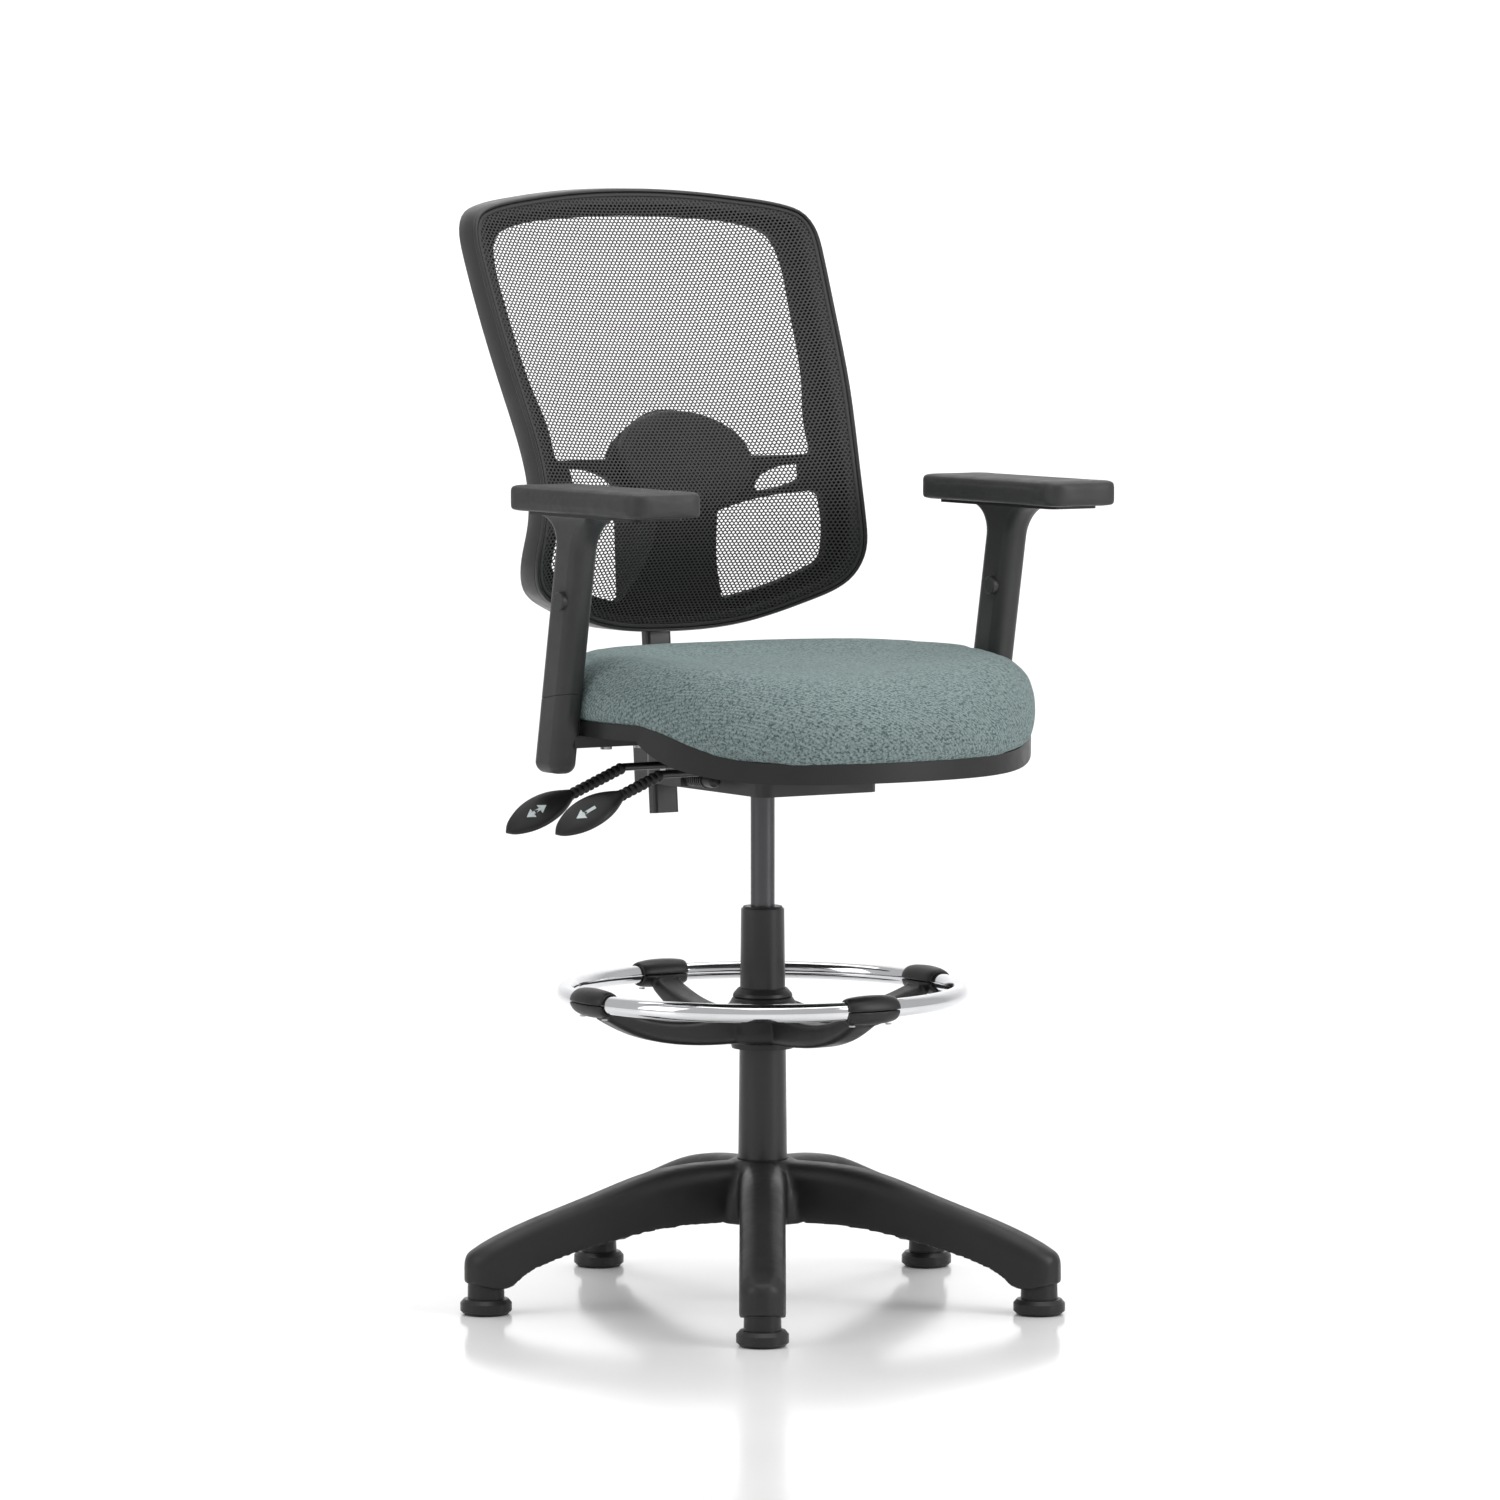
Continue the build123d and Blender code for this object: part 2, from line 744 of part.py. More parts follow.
def seat_outline(inset):
    """The seat's plan: a half-ellipse nose, straight sides and rounded rear corners."""
    half = SEAT_HALF_WIDTH - inset
    nose = SEAT_NOSE_CENTRE - SEAT_FRONT - inset
    rear = SEAT_REAR - inset
    corner = SEAT_CORNER - inset
    with BuildSketch() as plan:
        with Locations((0, SEAT_NOSE_CENTRE)):
            Ellipse(half, nose)
        with Locations((0, (SEAT_NOSE_CENTRE + rear) / 2)):
            Rectangle(2 * half, rear - SEAT_NOSE_CENTRE)
        fillet(plan.vertices().group_by(Axis.Y)[-1], radius=corner)
    return plan.sketch


def seat_slab(inset, floor, nose_floor, roof, nose_roof):
    """The seat's plan between a lower and an upper line that both drop at the nose."""
    with BuildPart() as slab:
        with BuildSketch(level(500)):
            add(seat_outline(inset))
        extrude(amount=200)
        with BuildSketch(side_plane(-300)):
            with BuildLine():
                Polyline((250, floor), (-134, floor))
                Spline(
                    (-134, floor), (-161, floor - 19), (-197, nose_floor + 8),
                    (-249, nose_floor), (-300, nose_floor),
                )
                Line((-300, nose_floor), (-300, nose_roof))
                Spline(
                    (-300, nose_roof), (-257, nose_roof), (-213, nose_roof + 7.5),
                    (-181, nose_roof + 0.6 * (roof - nose_roof)),
                    (-161, nose_roof + 0.83 * (roof - nose_roof)), (-136, roof),
                )
                Polyline((-136, roof), (250, roof), (250, floor))
            make_face()
        extrude(amount=600, mode=Mode.INTERSECT)
    return slab.part


def seat_shell():
    """The moulded pan: a rim that drops at the nose, and a well over the mechanism."""
    outside = seat_slab(0, SHELL_UNDERSIDE, SHELL_NOSE_BOTTOM, SHELL_LINE, SHELL_NOSE_LINE)
    inside = seat_slab(
        5, SHELL_UNDERSIDE + 4, SHELL_NOSE_BOTTOM + 4, SHELL_LINE + 5, SHELL_NOSE_LINE + 5
    )
    middle = (HOUSING_FRONT + HOUSING_REAR) / 2
    depth = HOUSING_REAR - HOUSING_FRONT
    with BuildPart() as pan:
        add(outside)
        with BuildSketch(level(PLATE_TOP)):
            with Locations((0, middle)):
                RectangleRounded(SEAT_WELL_WIDTH, depth + 6, 16)
        extrude(amount=SHELL_UNDERSIDE + 4 - PLATE_TOP)
        add(inside, mode=Mode.SUBTRACT)
        with BuildSketch(level(PLATE_TOP + 4)):
            with Locations((0, middle)):
                RectangleRounded(SEAT_WELL_WIDTH - 2 * SEAT_WELL_WALL, depth - 2, 12)
        extrude(amount=SHELL_UNDERSIDE + 4 - PLATE_TOP, mode=Mode.SUBTRACT)
        with BuildSketch(level(PLATE_TOP)):
            with Locations((0, SEAT_BOLT_Y)):
                with GridLocations(*SEAT_BOLT_GRID, 2, 2):
                    Circle(SEAT_BOLT)
        extrude(amount=4, mode=Mode.SUBTRACT)
        with BuildSketch(level(SHELL_UNDERSIDE)):
            with Locations(*arm_bolt_places()):
                Circle(ARM_BOLT)
        extrude(amount=4, mode=Mode.SUBTRACT)
    return pan


def seat_board():
    """The plywood board inside the pan, behind the nose."""
    with BuildPart() as board:
        with BuildSketch(level(SHELL_UNDERSIDE + 4)):
            add(seat_outline(5.5))
            with Locations((0, -300)):
                Rectangle(600, 360, mode=Mode.SUBTRACT)
        extrude(amount=SHELL_LINE - SHELL_UNDERSIDE - 4.2)
    return board


def seat_cushion():
    """The upholstered pad as a plain solid: a level top that rolls over at the nose."""
    tail = SEAT_REAR + 1
    with BuildPart() as pad:
        with BuildSketch(level(500)):
            add(seat_outline(-0.5))
        extrude(amount=200)
        with BuildSketch(side_plane(-300)):
            with BuildLine():
                Polyline((tail, SHELL_LINE + 0.4), (tail, SEAT_TOP - 28))
                Spline((tail, SEAT_TOP - 28), (tail - 16, SEAT_TOP - 4), (tail - 46, SEAT_TOP))
                Spline(
                    (tail - 46, SEAT_TOP), (-60, SEAT_TOP - 3), (-170, SEAT_TOP - 10),
                    (-250, SEAT_TOP - 40), (-284, SEAT_TOP - 78),
                )
                Line((-284, SEAT_TOP - 78), (-284, SHELL_NOSE_LINE + 0.4))
                Spline(
                    (-284, SHELL_NOSE_LINE + 0.4), (-257, SHELL_NOSE_LINE + 0.4),
                    (-213, SHELL_NOSE_LINE + 7.9), (-181, SHELL_NOSE_LINE + 21.7),
                    (-161, SHELL_NOSE_LINE + 29.9), (-136, SHELL_LINE + 0.4),
                )
                Line((-136, SHELL_LINE + 0.4), (tail, SHELL_LINE + 0.4))
            make_face()
        extrude(amount=600, mode=Mode.INTERSECT)
    return pad


def seat_bolts():
    """Four bolts down through the well of the pan and the mount plate."""
    with BuildPart() as bolts:
        for low, high, radius in ((PLATE_TOP + 4, PLATE_TOP + 9, 6.5),
                                  (HOUSING_TOP - 4, PLATE_TOP + 4, SEAT_BOLT)):
            with BuildSketch(level(low)):
                with Locations((0, SEAT_BOLT_Y)):
                    with GridLocations(*SEAT_BOLT_GRID, 2, 2):
                        Circle(radius)
            extrude(amount=high - low)
    return bolts


save(seat_shell(), "seat_shell")
save(seat_board(), "seat_board")
save(seat_cushion(), "seat_cushion")
save(seat_bolts(), "seat_bolts")


# ---------------------------------------------------------------- tension knob
def tension_knob():
    """A ribbed grip with a rounded nose on a fore-and-aft screw beside the tray."""
    x, z = TENSION
    with BuildPart() as knob:
        with BuildSketch(front_plane(6)):
            with Locations((x, z)):
                Circle(3)
        extrude(amount=14)
        with BuildSketch(front_plane(TENSION_LUG_Y - 3.2)):
            with Locations((x, z)):
                Circle(6.8)
        extrude(amount=36)
        for rib in range(8):
            with BuildSketch(front_plane(TENSION_LUG_Y - 5 - rib * 4)):
                with Locations((x, z)):
                    Circle(7.8)
            extrude(amount=2.2)
        with BuildSketch(front_plane(TENSION_LUG_Y - 39.2)):
            with Locations((x, z)):
                Circle(6.8)
        extrude(amount=16)
        fillet(knob.faces().sort_by(Axis.Y)[0].edges(), radius=5.5)
    return knob


save(tension_knob(), "tension_knob")


# ---------------------------------------------------------------- back arm and bar
def bar_plane(z):
    """Plane square to the raked back bar where its centre line is at height z."""
    rake = radians(BACK_RAKE)
    return Plane(
        place(0, BAR_Y + (z - BAR_BOTTOM) * tan(rake), z),
        x_dir=(1, 0, 0),
        z_dir=(0, sin(rake), cos(rake)),
    )


def back_bracket():
    """Barrel on the tilt axle, two cheeks and the guide box that holds the bar."""
    with BuildPart() as bracket:
        with BuildSketch(side_plane(-22)):
            with BuildLine():
                Polyline(
                    (TILT_PIVOT_Y, 543), (190, 530), (190, 566), (TILT_PIVOT_Y, 563),
                    close=True,
                )
            make_face()
        extrude(amount=44)
        with BuildSketch(side_plane(-18)):
            with Locations((TILT_PIVOT_Y + 58, 550)):
                Rectangle(94, 60)
        extrude(amount=36, mode=Mode.SUBTRACT)
        with BuildSketch(side_plane(-22)):
            with Locations((TILT_PIVOT_Y, TILT_PIVOT_Z)):
                Circle(11)
        extrude(amount=44)
        with BuildSketch(side_plane(-22)):
            with Locations((TILT_PIVOT_Y, TILT_PIVOT_Z)):
                Circle(TILT_AXLE + RUNNING)
        extrude(amount=44, mode=Mode.SUBTRACT)
        with BuildSketch(bar_plane(GUIDE_BOTTOM)):
            with Locations((0, 4)):
                RectangleRounded(BAR_WIDTH + 16, BAR_DEPTH + 22, 5)
        extrude(amount=GUIDE_TOP - GUIDE_BOTTOM)
        with BuildSketch(bar_plane(GUIDE_BOTTOM - 10)):
            RectangleRounded(BAR_WIDTH + 0.2, BAR_DEPTH + 0.2, 4.1)
        extrude(amount=GUIDE_TOP - GUIDE_BOTTOM + 30, mode=Mode.SUBTRACT)
    return bracket


def upright_bar():
    """The rectangular tube that carries the back, closed at its foot."""
    with BuildPart() as bar:
        with BuildSketch(bar_plane(BAR_BOTTOM)):
            RectangleRounded(BAR_WIDTH, BAR_DEPTH, 4)
        extrude(amount=BAR_LENGTH)
        with BuildSketch(bar_plane(BAR_BOTTOM).offset(4)):
            RectangleRounded(BAR_WIDTH - 5, BAR_DEPTH - 5, 1.5)
        extrude(amount=BAR_LENGTH, mode=Mode.SUBTRACT)
    return bar


save(back_bracket(), "back_bracket")
save(upright_bar(), "upright_bar")


# ---------------------------------------------------------------- back
def back_slab(front, rear):
    """A doubly curved sheet between two depths behind the S-curve of the back's sides."""
    half = BACK_HALF_SHEET
    with BuildPart() as slab:
        with BuildLine(side_plane(0)) as curve:
            Spline(*BACK_CURVE)
        start = Plane(curve.line @ 0, x_dir=(1, 0, 0), z_dir=curve.line % 0)
        with BuildSketch(start):
            with BuildLine():
                ThreePointArc((-half, front), (0, front + BACK_SAG), (half, front))
                Line((half, front), (half, rear))
                ThreePointArc((half, rear), (0, rear + BACK_SAG), (-half, rear))
                Line((-half, rear), (-half, front))
            make_face()
        sweep()
    return slab.part


def back_outline(inset):
    """The back seen from the front, its edge curve drawn in along its own normals."""
    with BuildSketch() as face:
        with BuildLine():
            edge = Spline(
                *BACK_EDGE, tangents=((1, 0), (-1, 0)), mode=Mode.PRIVATE
            )
            drawn_in = []
            along = []
            for step in range(EDGE_SPANS * STEPS_PER_SPAN + 1):
                share = step / (EDGE_SPANS * STEPS_PER_SPAN)
                along.append(edge % share)
                inward = Vector(-along[-1].Y, along[-1].X)
                drawn_in.append(edge @ share + inward * inset)
            for span in range(EDGE_SPANS):
                first = span * STEPS_PER_SPAN
                last = first + STEPS_PER_SPAN
                Spline(*drawn_in[first : last + 1], tangents=(along[first], along[last]))
            mirror(about=Plane.YZ)
        make_face()
    return face.sketch


def back_rim():
    """The deep plastic rim round the mesh."""
    with BuildPart() as rim:
        add(back_slab(-RIM_DEPTH / 2, RIM_DEPTH / 2))
        with BuildSketch(front_plane(0)):
            add(back_outline(0))
            add(back_outline(RIM_THICKNESS), mode=Mode.SUBTRACT)
        extrude(amount=-BEHIND_ALL, mode=Mode.INTERSECT)
        add(bar_clearance(), mode=Mode.SUBTRACT)
    return rim


def mesh_panel():
    """The woven panel stretched across the front of the rim."""
    with BuildPart() as mesh:
        add(back_slab(-RIM_DEPTH / 2 + 1.5, -RIM_DEPTH / 2 + 3.5))
        with BuildSketch(front_plane(0)):
            add(back_outline(RIM_THICKNESS + FIT_GAP))
        extrude(amount=-BEHIND_ALL, mode=Mode.INTERSECT)
    return mesh


def frame_windows():
    """The openings of the frame, seen from the front: one large one over two pairs."""
    with BuildSketch() as windows:
        with BuildLine():
            Spline(
                (0, 1120), (83, 1117), (150, 1108), (170, 1098), (178, 1078), (178, 1030),
                (169, 940), (160, 885), (152, ARM_BAND_TOP),
                tangents=((1, 0), (-1, 0)),
            )
            Line((152, ARM_BAND_TOP), (86, ARM_BAND_TOP))
            Spline(
                (86, ARM_BAND_TOP), (62, 893), (34, 909), (0, 917.5),
                tangents=((-0.4, 1), (-1, 0)),
            )
            mirror(about=Plane.YZ)
        make_face()
        for side in (-1, 1):
            with BuildLine():
                Spline(
                    (side * 85, 832), (side * 86, 842), (side * 96, 850),
                    (side * 118, 857.5), (side * 143, 860.5),
                )
                Line((side * 143, 860.5), (side * 141, 843))
                Spline((side * 141, 843), (side * 112, 834.5), (side * 85, 832))
            make_face()
            with BuildLine():
                Spline(
                    (side * 38, 812), (side * 74, 822), (side * 110, 828), (side * 146, 831)
                )
                ThreePointArc((side * 146, 831), (side * 158, 828.5), (side * 162, 817))
                Spline((side * 162, 817), (side * 166.5, 785), (side * 168, 766))
                ThreePointArc((side * 168, 766), (side * 165, 757), (side * 158, 751))
                Spline((side * 158, 751), (side * 110, 729.5), (side * 70, 719))
                ThreePointArc((side * 70, 719), (side * 63, 720), (side * 59, 727))
                Spline((side * 59, 727), (side * 41, 770), (side * 38, 812))
            make_face()
    return windows.sketch


def bar_clearance():
    """The room that the rim and the frame leave for the upright bar."""
    with BuildPart() as room:
        with BuildSketch(bar_plane(BAR_BOTTOM)):
            Rectangle(BAR_WIDTH + 2 * FIT_GAP, BAR_DEPTH + 2 * FIT_GAP)
        extrude(amount=BAR_LENGTH + FIT_GAP)
    return room.part


def back_frame():
    """The moulded frame behind the mesh: bands, a spine and two pairs of side arms."""
    with BuildPart() as frame:
        add(back_slab(FRAME_FRONT, FRAME_REAR))
        with BuildSketch(front_plane(0)):
            add(back_outline(RIM_THICKNESS + FIT_GAP))
            add(frame_windows(), mode=Mode.SUBTRACT)
        extrude(amount=-BEHIND_ALL, mode=Mode.INTERSECT)
        add(bar_clearance(), mode=Mode.SUBTRACT)
    return frame


def lumbar_pad():
    """The domed support between the frame and the mesh."""
    with BuildPart() as pad:
        add(back_slab(-RIM_DEPTH / 2 + 4, FRAME_FRONT - FIT_GAP))
        with BuildSketch(front_plane(0)):
            with Locations((0, LUMBAR_Z)):
                Ellipse(80, 51)
        extrude(amount=-BEHIND_ALL, mode=Mode.INTERSECT)
    return pad


def spine_cover():
    """The housing that joins the frame to the bar, open towards the frame."""
    in_front = back_slab(-150, FRAME_REAR)
    rim = back_rim().part
    with BuildPart() as cover:
        with BuildSketch(front_plane(80)):
            with BuildLine():
                Polyline(
                    (-40, 692), (-38, 800), (-30, 888), (30, 888), (38, 800), (40, 692),
                    close=True,
                )
            make_face()
        extrude(amount=-180)
        with BuildSketch(bar_plane(690).offset(-20)):
            with Locations((0, -97)):
                Rectangle(100, 2 * (97 + BAR_DEPTH / 2 + 5))
        extrude(amount=260, mode=Mode.INTERSECT)
        with BuildSketch(front_plane(80)):
            with BuildLine():
                Polyline(
                    (-35, 697), (-33, 800), (-26, 883), (26, 883), (33, 800), (35, 697),
                    close=True,
                )
            make_face()
            with Locations((0, 790)):
                Rectangle(BAR_WIDTH + 8, 240, mode=Mode.SUBTRACT)
        extrude(amount=-180, mode=Mode.SUBTRACT)
        with BuildSketch(bar_plane(BAR_BOTTOM)):
            RectangleRounded(BAR_WIDTH, BAR_DEPTH, 4)
        extrude(amount=BAR_LENGTH, mode=Mode.SUBTRACT)
        add(in_front, mode=Mode.SUBTRACT)
        add(rim, mode=Mode.SUBTRACT)
    return cover


def back_screws():
    """Four screws on the housing's rear face."""
    with BuildPart() as screws:
        with BuildSketch(front_plane(0)):
            for z in SCREW_ROWS:
                with Locations((-26, z), (26, z)):
                    Circle(4)
        extrude(amount=-260)
        rake = radians(BACK_RAKE)
        face_y = BAR_Y + (690 - BAR_BOTTOM) * tan(rake) + (BAR_DEPTH / 2 + 5) / cos(rake)
        rear = Plane(
            place(0, face_y, 690), x_dir=(1, 0, 0), z_dir=(0, -cos(rake), sin(rake))
        )
        with BuildSketch(rear.offset(-1.8)):
            Rectangle(200, 600)
        extrude(amount=1.8, mode=Mode.INTERSECT)
    return screws


save(back_rim(), "back_rim")
save(mesh_panel(), "mesh_panel")
save(back_frame(), "back_frame")
save(lumbar_pad(), "lumbar_pad")
save(spine_cover(), "spine_cover")
save(back_screws(), "back_screws")


# ---------------------------------------------------------------- arms
RAKE_DIRECTION = (0, -sin(radians(ARM_RAKE)), cos(radians(ARM_RAKE)))
RAKE_STRETCH = 1 / cos(radians(ARM_RAKE))


def arm_level(side, z):
    """Horizontal plane on an arm's raked centre line."""
    return Plane(place(side * ARM_X, ARM_Y - (z - ARM_Z) * tan(radians(ARM_RAKE)), z))


def post(side, low, high):
    """A raked length of the arm's outer section."""
    with BuildPart() as body:
        with BuildSketch(arm_level(side, low)):
            RectangleRounded(POST_WIDTH, POST_DEPTH * RAKE_STRETCH, POST_CORNER)
        extrude(amount=(high - low) * RAKE_STRETCH, dir=RAKE_DIRECTION)
    return body.part


def bar_slot(side, low, high, clearance):
    """A raked length of the inner bar's section."""
    width, depth = BAR_SLOT[1] + 2 * clearance, BAR_SLOT[0] + 2 * clearance
    with BuildPart() as body:
        with BuildSketch(arm_level(side, low)):
            RectangleRounded(width, depth, 3)
        extrude(amount=(high - low) * RAKE_STRETCH, dir=RAKE_DIRECTION)
    return body.part


def below_parting(side, raise_by):
    """Everything under the wavy line where the sleeve meets the lower cover."""
    centre = ARM_Y - (SLEEVE_BOTTOM - ARM_Z) * tan(radians(ARM_RAKE))
    z = SLEEVE_BOTTOM + raise_by
    with BuildPart() as body:
        with BuildSketch(side_plane(side * ARM_X - 40)):
            with BuildLine():
                wave = Spline(
                    (centre + 60, z - 3), (centre + 20, z - 3), (centre, z),
                    (centre - 20, z + 3), (centre - 60, z + 3),
                )
                Polyline(wave @ 1, (centre - 60, 500), (centre + 60, 500), wave @ 0)
            make_face()
        extrude(amount=80)
    return body.part


def arm_sleeve(side):
    """The sliding sleeve: it flares fore and aft into a flat seat for the pad."""
    flare = 34.0
    start = PLATE_Z - flare
    with BuildPart() as sleeve:
        add(post(side, SLEEVE_BOTTOM - 8, start))
        add(below_parting(side, 0.5), mode=Mode.SUBTRACT)
        for share in (0, 0.33, 0.6, 0.78, 0.9, 1):
            spread = flare * (1 - (1 - share**2) ** 0.5)
            with BuildSketch(arm_level(side, start + share * flare)):
                RectangleRounded(
                    POST_WIDTH + spread * 0.2,
                    POST_DEPTH * RAKE_STRETCH + 2 * spread,
                    POST_CORNER,
                )
        loft()
        add(bar_slot(side, SLEEVE_BOTTOM - 10, INNER_BAR_TOP + 6, 0.15), mode=Mode.SUBTRACT)
        with BuildSketch(side_plane(side * ARM_X - POST_WIDTH / 2 + BUTTON_POCKET)):
            with Locations((BUTTON_Y, BUTTON_Z)):
                Circle(BUTTON_RADIUS + RUNNING)
        extrude(amount=-30, mode=Mode.SUBTRACT)
    return sleeve


def arm_cover(side):
    """The fixed lower cover: a rounded shoe round the bar, up to the parting line."""
    with BuildPart() as cover:
        add(post(side, POST_BOTTOM, SLEEVE_BOTTOM + 12))
        fillet(cover.faces().sort_by(Axis.Z)[0].edges(), radius=11)
        add(below_parting(side, 0), mode=Mode.INTERSECT)
        add(bar_slot(side, POST_BOTTOM + 12, SLEEVE_BOTTOM + 20, 0), mode=Mode.SUBTRACT)
        add(arm_bracket_bar(side), mode=Mode.SUBTRACT)
    return cover


def arm_bracket_bar(side):
    """The flat bar from the arm's foot to under the pan, without its bolt holes."""
    inner, outer = 150.0, ARM_X - BAR_SLOT[1] / 2
    with BuildPart() as bar:
        with BuildSketch(level(ARM_BRACKET_BOTTOM)):
            with Locations((side * (inner + outer) / 2, ARM_BRACKET_Y)):
                Rectangle(outer - inner, ARM_BRACKET_WIDTH)
        extrude(amount=SHELL_UNDERSIDE - ARM_BRACKET_BOTTOM)
    return bar.part


def arm_bracket(side):
    with BuildPart() as bar:
        add(arm_bracket_bar(side))
        with BuildSketch(level(ARM_BRACKET_BOTTOM)):
            with Locations(*[p for p in arm_bolt_places() if p[0] * side > 0]):
                Circle(ARM_BOLT)
        extrude(amount=SHELL_UNDERSIDE - ARM_BRACKET_BOTTOM, mode=Mode.SUBTRACT)
        add(bar_slot(side, POST_BOTTOM, SLEEVE_BOTTOM, 0), mode=Mode.SUBTRACT)
    return bar


def inner_bar(side):
    """The steel bar that stands in the cover and guides the sleeve."""
    with BuildPart() as bar:
        add(bar_slot(side, POST_BOTTOM + 12, INNER_BAR_TOP, 0))
    return bar


def arm_button(side):
    """The round push button on the right-hand face of the sleeve."""
    with BuildPart() as button:
        with BuildSketch(side_plane(side * ARM_X - POST_WIDTH / 2 - 5)):
            with Locations((BUTTON_Y, BUTTON_Z)):
                Circle(BUTTON_RADIUS)
        extrude(amount=5 + BUTTON_POCKET - 4.1)
        fillet(button.faces().sort_by(Axis.X)[0].edges(), radius=1.2)
    return button


def arm_plate(side):
    """The steel plate between sleeve and pad."""
    with BuildPart() as plate:
        with BuildSketch(level(PLATE_Z)):
            with Locations((side * PAD_X, PAD_Y)):
                RectangleRounded(PAD_WIDTH - 22, PAD_LENGTH - 40, 8)
        extrude(amount=PAD_BOTTOM - PLATE_Z)
    return plate


def arm_pad(side):
    """The soft pad, as a plain solid with eased edges."""
    with BuildPart() as pad:
        with BuildSketch(level(PAD_BOTTOM)):
            with Locations((side * PAD_X, PAD_Y)):
                RectangleRounded(PAD_WIDTH, PAD_LENGTH, 15)
        extrude(amount=PAD_TOP - PAD_BOTTOM)
        fillet(pad.faces().sort_by(Axis.Z)[-1].edges(), radius=8)
        fillet(pad.faces().sort_by(Axis.Z)[0].edges(), radius=5)
    return pad


def arm_bolts():
    """The four bolts up through the arm brackets into the pan."""
    with BuildPart() as bolts:
        for low, high, radius in ((ARM_BRACKET_BOTTOM - 4, ARM_BRACKET_BOTTOM, 6),
                                  (ARM_BRACKET_BOTTOM, SHELL_UNDERSIDE + 4, ARM_BOLT)):
            with BuildSketch(level(low)):
                with Locations(*arm_bolt_places()):
                    Circle(radius)
            extrude(amount=high - low)
    return bolts


for side, hand in ((1, "left"), (-1, "right")):
    save(arm_bracket(side), f"arm_bracket_{hand}")
    save(arm_cover(side), f"arm_cover_{hand}")
    save(inner_bar(side), f"arm_bar_{hand}")
    save(arm_sleeve(side), f"arm_sleeve_{hand}")
    save(arm_button(side), f"arm_button_{hand}")
    save(arm_plate(side), f"arm_plate_{hand}")
    save(arm_pad(side), f"arm_pad_{hand}")
save(arm_bolts(), "arm_bolts")
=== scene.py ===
import json
import math

import bmesh
import bpy
import numpy as np
from mathutils import Matrix, Vector, bvhtree


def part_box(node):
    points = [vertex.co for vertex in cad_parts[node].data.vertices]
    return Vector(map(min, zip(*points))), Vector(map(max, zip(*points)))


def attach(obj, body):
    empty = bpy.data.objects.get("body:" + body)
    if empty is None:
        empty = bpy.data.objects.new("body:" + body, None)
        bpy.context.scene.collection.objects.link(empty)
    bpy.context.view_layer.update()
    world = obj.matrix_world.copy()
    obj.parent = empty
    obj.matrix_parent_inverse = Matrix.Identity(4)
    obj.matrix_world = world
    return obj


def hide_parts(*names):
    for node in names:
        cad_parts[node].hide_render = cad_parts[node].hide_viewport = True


# Drafting chair. Metres, +Z up, the chair faces -Y, +X is the sitter's left.
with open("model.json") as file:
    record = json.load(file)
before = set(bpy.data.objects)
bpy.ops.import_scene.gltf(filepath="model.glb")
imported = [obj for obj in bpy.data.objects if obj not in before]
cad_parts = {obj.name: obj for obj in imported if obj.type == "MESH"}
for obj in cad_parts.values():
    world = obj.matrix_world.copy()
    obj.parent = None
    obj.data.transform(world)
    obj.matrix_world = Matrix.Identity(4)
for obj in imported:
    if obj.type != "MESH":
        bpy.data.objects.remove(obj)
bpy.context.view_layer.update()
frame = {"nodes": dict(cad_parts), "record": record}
NODES = frame["nodes"]

MM = 0.001

# ---------------------------------------------------------------- where things are, from the frame
tube_low, tube_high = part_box("column_tube")
COLUMN = Vector(((tube_low.x + tube_high.x) / 2, (tube_low.y + tube_high.y) / 2, 0))


# ---------------------------------------------------------------- small tools
def natural_spline(points, start=None, end=None):
    """A smooth curve through points, by chord length. Returns f(t), t from 0 to 1."""
    p = np.array(points, float)
    t = np.r_[0, np.cumsum(np.linalg.norm(np.diff(p, axis=0), axis=1))]
    total = t[-1]
    t = t / total
    n = len(p)
    h = np.diff(t)
    a = np.zeros((n, n))
    b = np.zeros_like(p)
    for i in range(1, n - 1):
        a[i, i - 1], a[i, i], a[i, i + 1] = h[i - 1], 2 * (h[i - 1] + h[i]), h[i]
        b[i] = 6 * ((p[i + 1] - p[i]) / h[i] - (p[i] - p[i - 1]) / h[i - 1])
    a[0, 0] = a[-1, -1] = 1
    if start is not None:
        a[0, 0], a[0, 1] = 2 * h[0], h[0]
        b[0] = 6 * ((p[1] - p[0]) / h[0] - np.array(start, float) * total)
    if end is not None:
        a[-1, -1], a[-1, -2] = 2 * h[-1], h[-1]
        b[-1] = 6 * (np.array(end, float) * total - (p[-1] - p[-2]) / h[-1])
    m = np.linalg.solve(a, b)

    def at(x):
        x = np.atleast_1d(np.asarray(x, float))
        i = np.clip(np.searchsorted(t, x, side="right") - 1, 0, n - 2)
        u = (x - t[i])[:, None]
        v = (t[i + 1] - x)[:, None]
        hi = h[i][:, None]
        return (
            (m[i] * v**3 + m[i + 1] * u**3) / (6 * hi)
            + (p[i] / hi - m[i] * hi / 6) * v
            + (p[i + 1] / hi - m[i + 1] * hi / 6) * u
        )

    return at


def mesh_object(name, verts, faces, smooth=True):
    mesh = bpy.data.meshes.new(name)
    mesh.from_pydata([tuple(v) for v in verts], [], [tuple(f) for f in faces])
    mesh.validate()
    mesh.update()
    if smooth:
        mesh.shade_smooth()
    obj = bpy.data.objects.new(name, mesh)
    bpy.context.scene.collection.objects.link(obj)
    return obj


